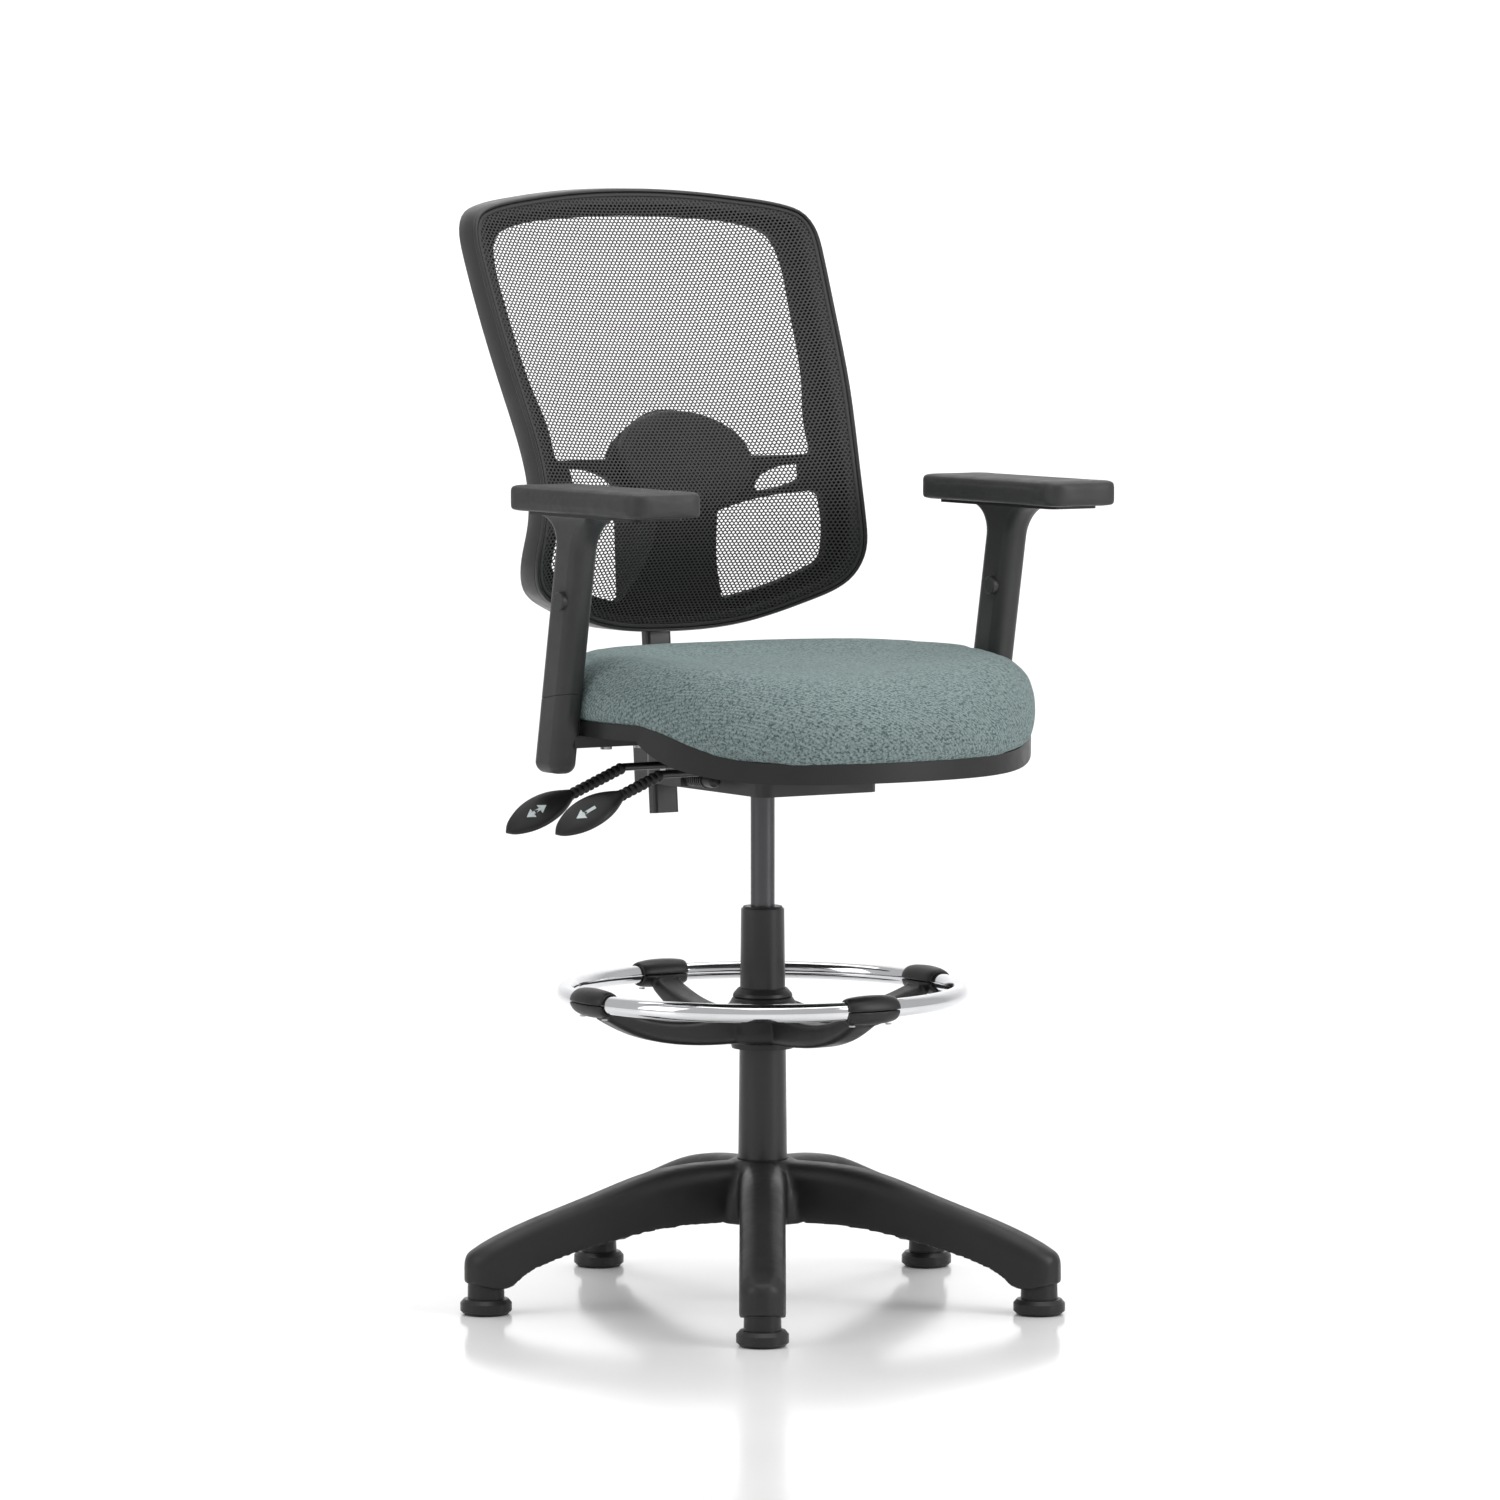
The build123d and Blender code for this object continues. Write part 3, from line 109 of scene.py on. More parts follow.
def grid_faces(rows, cols, wrap_rows=False, wrap_cols=False):
    """Quads of a rows x cols grid of vertices, in row order."""
    faces = []
    for r in range(rows if wrap_rows else rows - 1):
        for c in range(cols if wrap_cols else cols - 1):
            r2, c2 = (r + 1) % rows, (c + 1) % cols
            faces.append((r * cols + c, r * cols + c2, r2 * cols + c2, r2 * cols + c))
    return faces


def apply_modifiers(obj):
    """Bake the modifiers into the mesh, so none is left on the piece."""
    dg = bpy.context.evaluated_depsgraph_get()
    done = bpy.data.meshes.new_from_object(obj.evaluated_get(dg))
    obj.modifiers.clear()
    old = obj.data
    obj.data = done
    bpy.data.meshes.remove(old)


def outward(obj):
    """Turn every face's normal outwards."""
    bm = bmesh.new()
    bm.from_mesh(obj.data)
    bmesh.ops.recalc_face_normals(bm, faces=bm.faces)
    bm.to_mesh(obj.data)
    bm.free()


def finish_piece(obj, material, body, stands_for=()):
    obj.data.materials.clear()
    obj.data.materials.append(material)
    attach(obj, body)
    if stands_for:
        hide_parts(*stands_for)
    return obj


# ---------------------------------------------------------------- materials
class Shader:
    """A small helper that builds a node material."""

    def __init__(self, name):
        self.material = bpy.data.materials.new(name)
        self.material.use_nodes = True
        self.tree = self.material.node_tree
        self.tree.nodes.clear()
        self.out = self.add("ShaderNodeOutputMaterial")
        self.surface = self.add("ShaderNodeBsdfPrincipled")
        self.join(self.surface, "BSDF", self.out, "Surface")
        self.where = self.add("ShaderNodeTexCoord")

    def add(self, kind, **inputs):
        node = self.tree.nodes.new(kind)
        for key, value in inputs.items():
            node.inputs[key.replace("_", " ")].default_value = value
        return node

    def join(self, a, out, b, into):
        self.tree.links.new(a.outputs[out], b.inputs[into])

    def stretched(self, scale, turn=(0, 0, 0)):
        node = self.add("ShaderNodeMapping", Scale=scale, Rotation=turn)
        self.join(self.where, "Object", node, "Vector")
        return node

    def noise(self, scale, detail=2.0, rough=0.5, source=None):
        node = self.add("ShaderNodeTexNoise", Scale=scale, Detail=detail, Roughness=rough)
        if source is None:
            self.join(self.where, "Object", node, "Vector")
        else:
            self.join(source, "Vector", node, "Vector")
        return node

    def ramp(self, source, out, stops):
        node = self.add("ShaderNodeValToRGB")
        node.color_ramp.elements[0].position = stops[0][0]
        node.color_ramp.elements[0].color = (*stops[0][1], 1)
        node.color_ramp.elements[1].position = stops[-1][0]
        node.color_ramp.elements[1].color = (*stops[-1][1], 1)
        for place, colour in stops[1:-1]:
            node.color_ramp.elements.new(place).color = (*colour, 1)
        self.join(source, out, node, "Fac")
        return node

    def range(self, source, out, low, high, start=0.0, stop=1.0):
        node = self.add("ShaderNodeMapRange")
        node.inputs["From Min"].default_value = start
        node.inputs["From Max"].default_value = stop
        node.inputs["To Min"].default_value = low
        node.inputs["To Max"].default_value = high
        self.join(source, out, node, "Value")
        return node

    def mix(self, kind, factor, a, b):
        """Mix two colour outputs, each given as (node, output)."""
        node = self.add("ShaderNodeMix")
        node.data_type = "RGBA"
        node.blend_type = kind
        if isinstance(factor, tuple):
            self.tree.links.new(factor[0].outputs[factor[1]], node.inputs[0])
        else:
            node.inputs[0].default_value = factor
        for source, place in ((a, 6), (b, 7)):
            if hasattr(source[0], "outputs"):
                self.tree.links.new(source[0].outputs[source[1]], node.inputs[place])
            else:
                node.inputs[place].default_value = (*source, 1)
        return node

    def bump(self, source, out, strength, distance, under=None):
        node = self.add("ShaderNodeBump", Strength=strength, Distance=distance)
        self.join(source, out, node, "Height")
        if under is not None:
            self.join(under, "Normal", node, "Normal")
        return node


def shade(colour, by):
    return tuple(c * by for c in colour)


def moulded(name, colour, roughness, grain=900.0, bump=0.12, wear=1.7, shine=0.36):
    """Moulded plastic: mottled tone, fine spark grain and paler rubbed edges."""
    s = Shader(name)
    broad = s.noise(14.0, 3.0)
    tone = s.ramp(broad, "Fac", ((0.3, shade(colour, 0.86)), (0.7, shade(colour, 1.14))))
    edges = s.add("ShaderNodeNewGeometry")
    rubbed = s.range(edges, "Pointiness", 0.0, 0.4, 0.54, 0.64)
    blend = s.mix("MIX", (rubbed, "Result"), (tone, "Color"), shade(colour, wear))
    s.join(blend, 2, s.surface, "Base Color")
    smear = s.noise(46.0, 4.0, 0.6)
    gloss = s.range(smear, "Fac", roughness - 0.06, roughness + 0.08, 0.3, 0.7)
    s.join(gloss, "Result", s.surface, "Roughness")
    fine = s.noise(grain, 1.0)
    rough = s.bump(fine, "Fac", bump, 0.00012)
    s.join(rough, "Normal", s.surface, "Normal")
    s.surface.inputs["Specular IOR Level"].default_value = shine
    return s.material


def painted(name, colour, roughness):
    """Powder coat: slight orange peel over steel."""
    s = Shader(name)
    broad = s.noise(9.0, 3.0)
    tone = s.ramp(broad, "Fac", ((0.3, shade(colour, 0.9)), (0.7, shade(colour, 1.12))))
    s.join(tone, "Color", s.surface, "Base Color")
    smear = s.noise(30.0, 4.0, 0.6)
    gloss = s.range(smear, "Fac", roughness - 0.05, roughness + 0.06, 0.3, 0.7)
    s.join(gloss, "Result", s.surface, "Roughness")
    peel = s.noise(420.0, 2.0)
    skin = s.bump(peel, "Fac", 0.05, 0.0001)
    s.join(skin, "Normal", s.surface, "Normal")
    s.surface.inputs["Coat Weight"].default_value = 0.1
    s.surface.inputs["Coat Roughness"].default_value = 0.28
    return s.material


def metal(name, colour, roughness, brushed=0.0):
    """Bare or plated metal, with faint smears and, if brushed, lines along Z."""
    s = Shader(name)
    broad = s.noise(22.0, 3.0)
    tone = s.ramp(broad, "Fac", ((0.3, shade(colour, 0.93)), (0.7, colour)))
    s.join(tone, "Color", s.surface, "Base Color")
    s.surface.inputs["Metallic"].default_value = 1.0
    smear = s.noise(60.0, 4.0, 0.65)
    gloss = s.range(smear, "Fac", max(roughness - 0.03, 0.02), roughness + 0.05, 0.3, 0.7)
    s.join(gloss, "Result", s.surface, "Roughness")
    lines = s.noise(300.0, 2.0, source=s.stretched((1, 1, 0.02 if brushed else 1)))
    skin = s.bump(lines, "Fac", 0.04 + brushed, 0.00008)
    s.join(skin, "Normal", s.surface, "Normal")
    return s.material


def upholstery(name, light, dark):
    """Heathered twill: diagonal ribs, slubs along the ribs, dark flecks and a soft sheen."""
    s = Shader(name)
    diagonal = (0, 0, math.radians(38))
    ribs = s.add("ShaderNodeTexWave", Scale=118.0, Distortion=1.6, Detail=2.0)
    ribs.inputs["Detail Scale"].default_value = 2.2
    ribs.bands_direction = "DIAGONAL"
    s.join(s.where, "Object", ribs, "Vector")
    slubs = s.noise(1.0, 3.0, 0.6, source=s.stretched((640, 220, 560), diagonal))
    flecks = s.noise(1.0, 2.0, 0.55, source=s.stretched((260, 700, 420), diagonal))
    broad = s.noise(7.0, 2.0)
    yarn = s.ramp(
        slubs, "Fac",
        ((0.30, shade(dark, 1.9)), (0.46, shade(light, 0.82)), (0.66, light)),
    )
    fleck = s.range(flecks, "Fac", 0.0, 1.0, 0.5, 0.64)
    mid = tuple((a + b) / 2 for a, b in zip(light, dark))
    speckled = s.mix("MIX", (fleck, "Result"), (yarn, "Color"), shade(dark, 1.5))
    ribbed = s.ramp(ribs, "Fac", ((0.1, (0.72, 0.72, 0.72)), (0.8, (1.0, 1.0, 1.0))))
    woven = s.mix("MULTIPLY", 0.75, (speckled, 2), (ribbed, "Color"))
    patchy = s.ramp(broad, "Fac", ((0.3, (0.93, 0.93, 0.93)), (0.7, (1.0, 1.0, 1.0))))
    cloth = s.mix("MULTIPLY", 1.0, (woven, 2), (patchy, "Color"))
    s.join(cloth, 2, s.surface, "Base Color")
    worn = s.range(slubs, "Fac", 0.82, 0.95, 0.3, 0.7)
    s.join(worn, "Result", s.surface, "Roughness")
    low = s.bump(ribs, "Fac", 0.35, 0.0004)
    high = s.bump(slubs, "Fac", 0.4, 0.0004, low)
    s.join(high, "Normal", s.surface, "Normal")
    s.surface.inputs["Sheen Weight"].default_value = 0.18
    s.surface.inputs["Sheen Roughness"].default_value = 0.5
    s.surface.inputs["Sheen Tint"].default_value = (*shade(mid, 1.6), 1)
    s.surface.inputs["Specular IOR Level"].default_value = 0.2
    return s.material


def knitted(name, colour):
    """Black polyester mesh yarn: a fine twist and a slight sheen."""
    s = Shader(name)
    twist = s.noise(1.0, 2.0, source=s.stretched((900, 300, 900)))
    tone = s.ramp(twist, "Fac", ((0.3, shade(colour, 0.75)), (0.7, shade(colour, 1.35))))
    s.join(tone, "Color", s.surface, "Base Color")
    gloss = s.range(twist, "Fac", 0.5, 0.68, 0.3, 0.7)
    s.join(gloss, "Result", s.surface, "Roughness")
    yarn = s.bump(twist, "Fac", 0.3, 0.0002)
    s.join(yarn, "Normal", s.surface, "Normal")
    s.surface.inputs["Sheen Weight"].default_value = 0.1
    return s.material


def foam_skin(name, colour):
    """Self-skinned foam: soft leathery pebble."""
    s = Shader(name)
    pebble = s.add("ShaderNodeTexVoronoi", Scale=620.0)
    pebble.feature = "SMOOTH_F1"
    s.join(s.where, "Object", pebble, "Vector")
    broad = s.noise(12.0, 3.0)
    tone = s.ramp(broad, "Fac", ((0.3, shade(colour, 0.88)), (0.7, shade(colour, 1.12))))
    s.join(tone, "Color", s.surface, "Base Color")
    smear = s.noise(36.0, 4.0, 0.6)
    gloss = s.range(smear, "Fac", 0.5, 0.66, 0.3, 0.7)
    s.join(gloss, "Result", s.surface, "Roughness")
    skin = s.bump(pebble, "Distance", 0.18, 0.0002)
    s.join(skin, "Normal", s.surface, "Normal")
    return s.material


def plywood(name, colour):
    """Ply face grain with darker glue lines through the thickness."""
    s = Shader(name)
    grain = s.noise(1.0, 4.0, 0.6, source=s.stretched((14, 220, 60)))
    face = s.ramp(grain, "Fac", ((0.3, shade(colour, 0.62)), (0.6, colour)))
    plies = s.add("ShaderNodeTexWave", Scale=130.0, Distortion=0.3)
    plies.bands_direction = "Z"
    s.join(s.where, "Object", plies, "Vector")
    lines = s.ramp(plies, "Fac", ((0.1, (0.7, 0.7, 0.7)), (0.4, (1.0, 1.0, 1.0))))
    wood = s.mix("MULTIPLY", 0.5, (face, "Color"), (lines, "Color"))
    s.join(wood, 2, s.surface, "Base Color")
    gloss = s.range(grain, "Fac", 0.6, 0.8, 0.3, 0.7)
    s.join(gloss, "Result", s.surface, "Roughness")
    skin = s.bump(grain, "Fac", 0.2, 0.0003)
    s.join(skin, "Normal", s.surface, "Normal")
    return s.material


MATERIALS = {
    "base_plastic": moulded("base_nylon", (0.012, 0.012, 0.0125), 0.42),
    "glide_plastic": moulded("glide_nylon", (0.011, 0.011, 0.0115), 0.36),
    "steel": metal("zinc_steel", (0.55, 0.55, 0.54), 0.32, 0.1),
    "column_paint": painted("column_powder_coat", (0.008, 0.008, 0.0085), 0.36),
    "dark_steel": metal("burnished_steel", (0.10, 0.10, 0.105), 0.3),
    "bush_plastic": moulded("bush_nylon", (0.02, 0.02, 0.021), 0.4),
    "chrome": metal("chrome_plate", (0.70, 0.705, 0.72), 0.07),
    "black_plastic": moulded("black_nylon", (0.010, 0.010, 0.0105), 0.4),
    "mechanism_paint": painted("mechanism_powder_coat", (0.016, 0.016, 0.017), 0.42),
    "sleeve_rubber": moulded("ribbed_sleeve", (0.008, 0.008, 0.008), 0.5),
    "paddle_plastic": moulded("paddle_plastic", (0.010, 0.010, 0.0105), 0.38),
    "plywood": plywood("seat_plywood", (0.58, 0.42, 0.25)),
    "seat_fabric": upholstery("seat_twill", (0.235, 0.30, 0.295), (0.045, 0.065, 0.067)),
    "mesh_fabric": knitted("back_mesh", (0.013, 0.013, 0.0135)),
    "arm_plastic": moulded("arm_plastic", (0.026, 0.0263, 0.027), 0.42, bump=0.08),
    "pad_foam": foam_skin("pad_foam", (0.02, 0.0203, 0.021)),
}

FRAME_NYLON = moulded(
    "frame_nylon", (0.003, 0.003, 0.0032), 0.6, wear=1.2, shine=0.12
)
LUMBAR_FOAM = foam_skin("lumbar_foam", (0.004, 0.004, 0.0042))
RIM_NYLON = moulded("rim_nylon", (0.02, 0.02, 0.0208), 0.36, bump=0.08)
ICON_PAINT = moulded("icon_print", (0.42, 0.47, 0.47), 0.45, bump=0.02)


# ---------------------------------------------------------------- CAD nodes: finish
SLOT_OF = {part["node"]: part["material_slot"] for part in frame["record"]["subparts"]}


def dress_nodes():
    """Each CAD node gets its slot's material."""
    for node, slot in SLOT_OF.items():
        obj = NODES[node]
        obj.data.materials.clear()
        finish = MATERIALS["black_plastic" if node.startswith("arm_plate") else slot]
        if node in ("back_frame", "spine_cover"):
            finish = FRAME_NYLON
        obj.data.materials.append(finish)


# ---------------------------------------------------------------- the back's surface
# Millimetres from the column: (back, up) along the sides, and (left, up) round the edge.
BACK_CURVE = (
    (208, 632), (176, 676), (133.6, 750), (121, 800), (126.6, 850), (144.5, 900),
    (192.9, 1000), (241, 1105), (279, 1200),
)
BACK_EDGE = (
    (0, 685), (90, 693), (155, 715), (192, 738), (202, 768), (198.8, 800), (195.7, 855),
    (203, 935), (210.5, 1040), (212, 1082), (209, 1109), (200, 1123), (183, 1131), (140, 1139),
    (70, 1146.5), (0, 1149),
)
BACK_HALF, BACK_SAG = 0.216, 0.026
BOW = (BACK_HALF**2 + BACK_SAG**2) / (2 * BACK_SAG)


class BackSurface:
    """The doubly curved sheet that the rim, mesh and pad follow."""

    def __init__(self):
        self.path = natural_spline(BACK_CURVE)(np.linspace(0, 1, 1601)) * MM
        steps = np.linalg.norm(np.diff(self.path, axis=0), axis=1)
        self.run = np.r_[0, np.cumsum(steps)]
        self.along = np.gradient(self.path, self.run, axis=0)

    def at(self, x, run, depth):
        """Points at a distance left, a run up the curve and a depth behind the sides."""
        ty = np.interp(run, self.run, self.along[:, 0])
        tz = np.interp(run, self.run, self.along[:, 1])
        behind = depth + np.sqrt(BOW**2 - np.minimum(np.abs(x), BACK_HALF) ** 2)
        behind = behind - (BOW - BACK_SAG)
        y = np.interp(run, self.run, self.path[:, 0]) + tz * behind
        z = np.interp(run, self.run, self.path[:, 1]) - ty * behind
        return np.stack([COLUMN.x + x, COLUMN.y + y, z], 1)

    def behind(self, x, z, depth):
        """Points seen from the front at (x, z), at a depth."""
        run = np.interp(z, self.path[:, 1], self.run)
        for _ in range(10):
            error = z - self.at(x, run, depth)[:, 2]
            run = run + error / np.interp(run, self.run, self.along[:, 1])
        return self.at(x, run, depth)


BACK = BackSurface()


def back_loop(half_steps):
    """The closed edge of the back as (x, z), with its inward normals."""
    half = natural_spline(BACK_EDGE, (1, 0), (-1, 0))(np.linspace(0, 1, half_steps + 1))
    loop = np.r_[half[:-1], half[::-1][:-1] * (-1, 1)] * MM
    along = np.roll(loop, -1, 0) - np.roll(loop, 1, 0)
    along /= np.linalg.norm(along, axis=1)[:, None]
    return loop, np.stack([-along[:, 1], along[:, 0]], 1)


def swept_round_back(name, profile, half_steps=112):
    """A closed section of (inward, depth) points in millimetres, swept round the back."""
    loop, inward = back_loop(half_steps)
    rings = []
    for inset, depth in profile:
        spot = loop + inward * inset * MM
        rings.append(BACK.behind(spot[:, 0], spot[:, 1], np.full(len(spot), depth * MM)))
    verts = np.concatenate(rings)
    obj = mesh_object(name, verts, grid_faces(len(profile), len(loop), True, True))
    outward(obj)
    return obj


RIM_SECTION = (
    (0, 14.5), (0, 2), (0, -10.8), (0.1, -11.2), (0.7, -11.5), (0.7, -12.2), (0.1, -12.5),
    (0, -12.9), (0.1, -15.2), (0.7, -16.5), (1.8, -17), (2.9, -16.8), (3.6, -15.9),
    (3.9, -14.4), (4.4, -13.4), (5.2, -13.2), (15.2, -13.2), (15.8, -12.9), (16, -12.2),
    (16, 13.5), (15.4, 15.7), (13.8, 16.9), (5, 17), (2.4, 16.9), (0.7, 16.1),
)
HEM_SECTION = (
    (4.3, -14.2), (4.6, -15.0), (5.6, -15.4), (7.2, -15.4), (8.2, -15.0), (8.4, -14.2),
)


def make_rim():
    rim = swept_round_back("back_rim_moulding", RIM_SECTION)
    return finish_piece(rim, RIM_NYLON, "backrest",
                        ["back_rim"])


MESH_PITCH, MESH_ROW = 0.0050, 0.0034
HOLE_WIDTH, HOLE_HEIGHT = 0.00172, 0.00158
MESH_DEPTH, HOLE_DEPTH = -0.0147, -0.0143
MESH_INSET = 0.0060


def inside_loop(points, loop):
    """Which (x, z) points lie inside a closed loop."""
    inside = np.zeros(len(points), bool)
    a, b = loop, np.roll(loop, -1, 0)
    for (x1, z1), (x2, z2) in zip(a, b):
        crosses = (z1 > points[:, 1]) != (z2 > points[:, 1])
        if z1 != z2:
            at = x1 + (points[:, 1] - z1) / (z2 - z1) * (x2 - x1)
            inside ^= crosses & (points[:, 0] < at)
    return inside


def mesh_cells():
    """Centres of the holes as (x, run), inside the hem."""
    loop, inward = back_loop(112)
    hem = loop + inward * MESH_INSET
    rows = int(BACK.run[-1] / MESH_ROW)
    columns = int(BACK_HALF / MESH_PITCH)
    centres = []
    for row in range(rows):
        shift = (row % 2) / 2
        for column in range(-columns, columns):
            centres.append(((column + shift) * MESH_PITCH, row * MESH_ROW))
    centres = np.array(centres)
    spots = BACK.at(centres[:, 0], centres[:, 1], np.full(len(centres), MESH_DEPTH))
    seen = np.stack([spots[:, 0] - COLUMN.x, spots[:, 2]], 1)
    return centres[inside_loop(seen, hem)]


def make_mesh():
    """The open back mesh: a hexagonal web with a round hole in each cell."""
    cells = mesh_cells()
    waist = (MESH_ROW**2 - (MESH_PITCH / 2) ** 2) / (2 * MESH_ROW)
    corners = ((0, MESH_ROW - waist), (MESH_PITCH / 2, waist), (MESH_PITCH / 2, -waist),
               (0, waist - MESH_ROW), (-MESH_PITCH / 2, -waist), (-MESH_PITCH / 2, waist))
    places, found, faces, depths = [], {}, [], []
    for x, run in cells:
        outer, inner = [], []
        for dx, dr in corners:
            key = (round((x + dx) * 1e5), round((run + dr) * 1e5))
            if key not in found:
                found[key] = len(places)
                places.append((x + dx, run + dr))
                depths.append(MESH_DEPTH)
            outer.append(found[key])
            size = math.hypot(dx, dr)
            inner.append(len(places))
            places.append((x + dx / size * HOLE_WIDTH, run + dr / size * HOLE_HEIGHT))
            depths.append(HOLE_DEPTH)
        for i in range(6):
            j = (i + 1) % 6
            faces.append((outer[i], inner[i], inner[j], outer[j]))
    places = np.array(places)
    verts = BACK.at(places[:, 0], places[:, 1], np.array(depths))
    mesh = mesh_object("back_mesh", verts, faces)
    hem = swept_round_back("back_mesh_hem", HEM_SECTION)
    finish_piece(mesh, MATERIALS["mesh_fabric"], "backrest", ["mesh_panel"])
    finish_piece(hem, MATERIALS["mesh_fabric"], "backrest")
    return mesh


def make_lumbar_pad():
    """The domed pad behind the mesh, an ellipse with a rolled edge."""
    centre_z, half_width, half_height = 0.866, 0.080, 0.051
    layers = ((0.97, 2.8), (1.0, 1.8), (1.0, -5.0), (0.985, -8.6), (0.95, -10.8),
              (0.88, -12.0), (0.7, -12.8), (0.45, -13.0), (0.2, -13.0))
    steps = 96
    angle = np.linspace(0, 2 * math.pi, steps, endpoint=False)
    rings = []
    for size, depth in layers:
        x = half_width * size * np.cos(angle)
        z = centre_z + half_height * size * np.sin(angle)
        rings.append(BACK.behind(x, z, np.full(steps, depth * MM)))
    verts = np.concatenate(rings)
    faces = grid_faces(len(rings), steps, False, True)
    faces.append(tuple(range(steps)))
    faces.append(tuple(range((len(rings) - 1) * steps, len(rings) * steps)))
    pad = mesh_object("lumbar_support", verts, faces)
    outward(pad)
    finish_piece(pad, LUMBAR_FOAM, "backrest", ["lumbar_pad"])


# ---------------------------------------------------------------- soft parts by cloth simulation
def puff(obj, voxel, cap, relaxing=3, pressure=4.0, frames=20):
    """Remesh, blow up a little as cloth, and hold each point near where it started."""
    remesh = obj.modifiers.new("remesh", "REMESH")
    remesh.mode = "VOXEL"
    remesh.voxel_size = voxel
    apply_modifiers(obj)
    count = len(obj.data.vertices)
    before = np.zeros(count * 3)
    obj.data.vertices.foreach_get("co", before)
    before = before.reshape(-1, 3)
    cloth = obj.modifiers.new("cloth", "CLOTH")
    cloth.settings.use_pressure = True
    cloth.settings.uniform_pressure_force = pressure
    cloth.settings.effector_weights.gravity = 0
    scene = bpy.context.scene
    for step in range(1, frames + 1):
        scene.frame_set(step)
    apply_modifiers(obj)
    scene.frame_set(1)
    after = np.zeros(count * 3)
    obj.data.vertices.foreach_get("co", after)
    moved = after.reshape(-1, 3) - before
    far = np.linalg.norm(moved, axis=1)[:, None]
    moved *= np.minimum(1, cap / np.maximum(far, 1e-9))
    obj.data.vertices.foreach_set("co", (before + moved).ravel())
    relax = obj.modifiers.new("relax", "SMOOTH")
    relax.factor, relax.iterations = 0.5, relaxing
    finer = obj.modifiers.new("finer", "SUBSURF")
    finer.levels = finer.render_levels = 1
    apply_modifiers(obj)
    obj.data.shade_smooth()


# Seat plan and heights, millimetres from the column.
SEAT_HALF, SEAT_FRONT, SEAT_NOSE, SEAT_REAR, SEAT_CORNER = 244, -282, -80, 142, 195
SHELL_LINE = (
    (-300, 577), (-257, 577), (-213, 584.4), (-181, 598.6), (-161, 607.4), (-136, 614),
    (-100, 615.4), (60, 615.9), (220, 615.9),
)
CREST_LINE = (
    (-300, 629), (-282, 635), (-256, 645), (-220, 657), (-170, 667), (-60, 674), (60, 676),
    (120, 675), (220, 672),
)
# Share of the height above the shell's line, and how far in from the plan's edge.
CUSHION_SIDE = (
    (-0.05, 0), (-0.04, -3.0), (0.02, -5.6), (0.12, -8.2), (0.28, -9.0), (0.46, -7.6),
    (0.63, -3.6), (0.77, 3.0), (0.88, 11.0), (0.955, 21), (0.992, 33), (1.0, 45),
)
CUSHION_TOP = (60, 80, 104, 130, 160, 192, 218)
DISH = 10.0


def seat_loop(inset, steps):
    """The seat's plan, drawn in by an inset: an elliptical nose and rounded rear corners."""
    half = SEAT_HALF - inset
    nose = max(SEAT_NOSE - SEAT_FRONT - inset, 4)
    rear = SEAT_REAR - inset
    corner = max(min(SEAT_CORNER - inset, half - 1), 8)
    dense = []
    for i in range(181):
        a = math.pi + math.pi * i / 180
        dense.append((half * math.cos(a), SEAT_NOSE + nose * math.sin(a)))
    for side, start in ((1, 0), (-1, 90)):
        for i in range(41):
            a = math.radians(start + 90 * i / 40)
            dense.append((side * (half - corner) + corner * math.cos(a),
                          rear - corner + corner * math.sin(a)))
    dense.append(dense[0])
    dense = np.array(dense)
    run = np.r_[0, np.cumsum(np.linalg.norm(np.diff(dense, axis=0), axis=1))]
    at = np.linspace(0, run[-1], steps, endpoint=False)
    return np.stack([np.interp(at, run, dense[:, 0]), np.interp(at, run, dense[:, 1])], 1)


def along_seat(table, y):
    """A height read from a (y, z) table at each y."""
    table = np.array(table, float)
    return np.interp(y, table[:, 0], table[:, 1])


def make_cushion():
    """The upholstered seat: sides that bulge past the shell, a dished top, a rolled nose."""
    steps = 220
    rings = []
    for share, inset in CUSHION_SIDE:
        loop = seat_loop(inset + 1.5, steps)
        low = along_seat(SHELL_LINE, loop[:, 1])
        high = along_seat(CREST_LINE, loop[:, 1])
        z = low + share * (high - low)
        rings.append(np.c_[loop, z])
    for inset in CUSHION_TOP:
        loop = seat_loop(inset, steps)
        ease = min((inset - 45) / 110, 1)
        ease = ease * ease * (3 - 2 * ease)
        z = along_seat(CREST_LINE, loop[:, 1]) - DISH * ease
        rings.append(np.c_[loop, z])
    floor = seat_loop(30, steps)
    rings.insert(0, np.c_[floor, along_seat(SHELL_LINE, floor[:, 1])])
    verts = np.concatenate(rings) * MM + np.array([COLUMN.x, COLUMN.y, 0])
    faces = grid_faces(len(rings), steps, False, True)
    faces.append(tuple(range(steps)))
    faces.append(tuple(range((len(rings) - 1) * steps, len(rings) * steps)))
    cushion = mesh_object("seat_upholstery", verts, faces)
    outward(cushion)
    puff(cushion, 0.005, 0.004)
    finish_piece(cushion, MATERIALS["seat_fabric"], "seat", ["seat_cushion"])


PAD_LAYERS = (
    (4.0, -0.2), (0.4, -0.1), (-1.2, 1.2), (-1.6, 3.5), (-1.6, 20.0), (-1.0, 22.4), (0.6, 23.9),
    (3.0, 24.4), (12.0, 24.5), (24.0, 24.5),
)


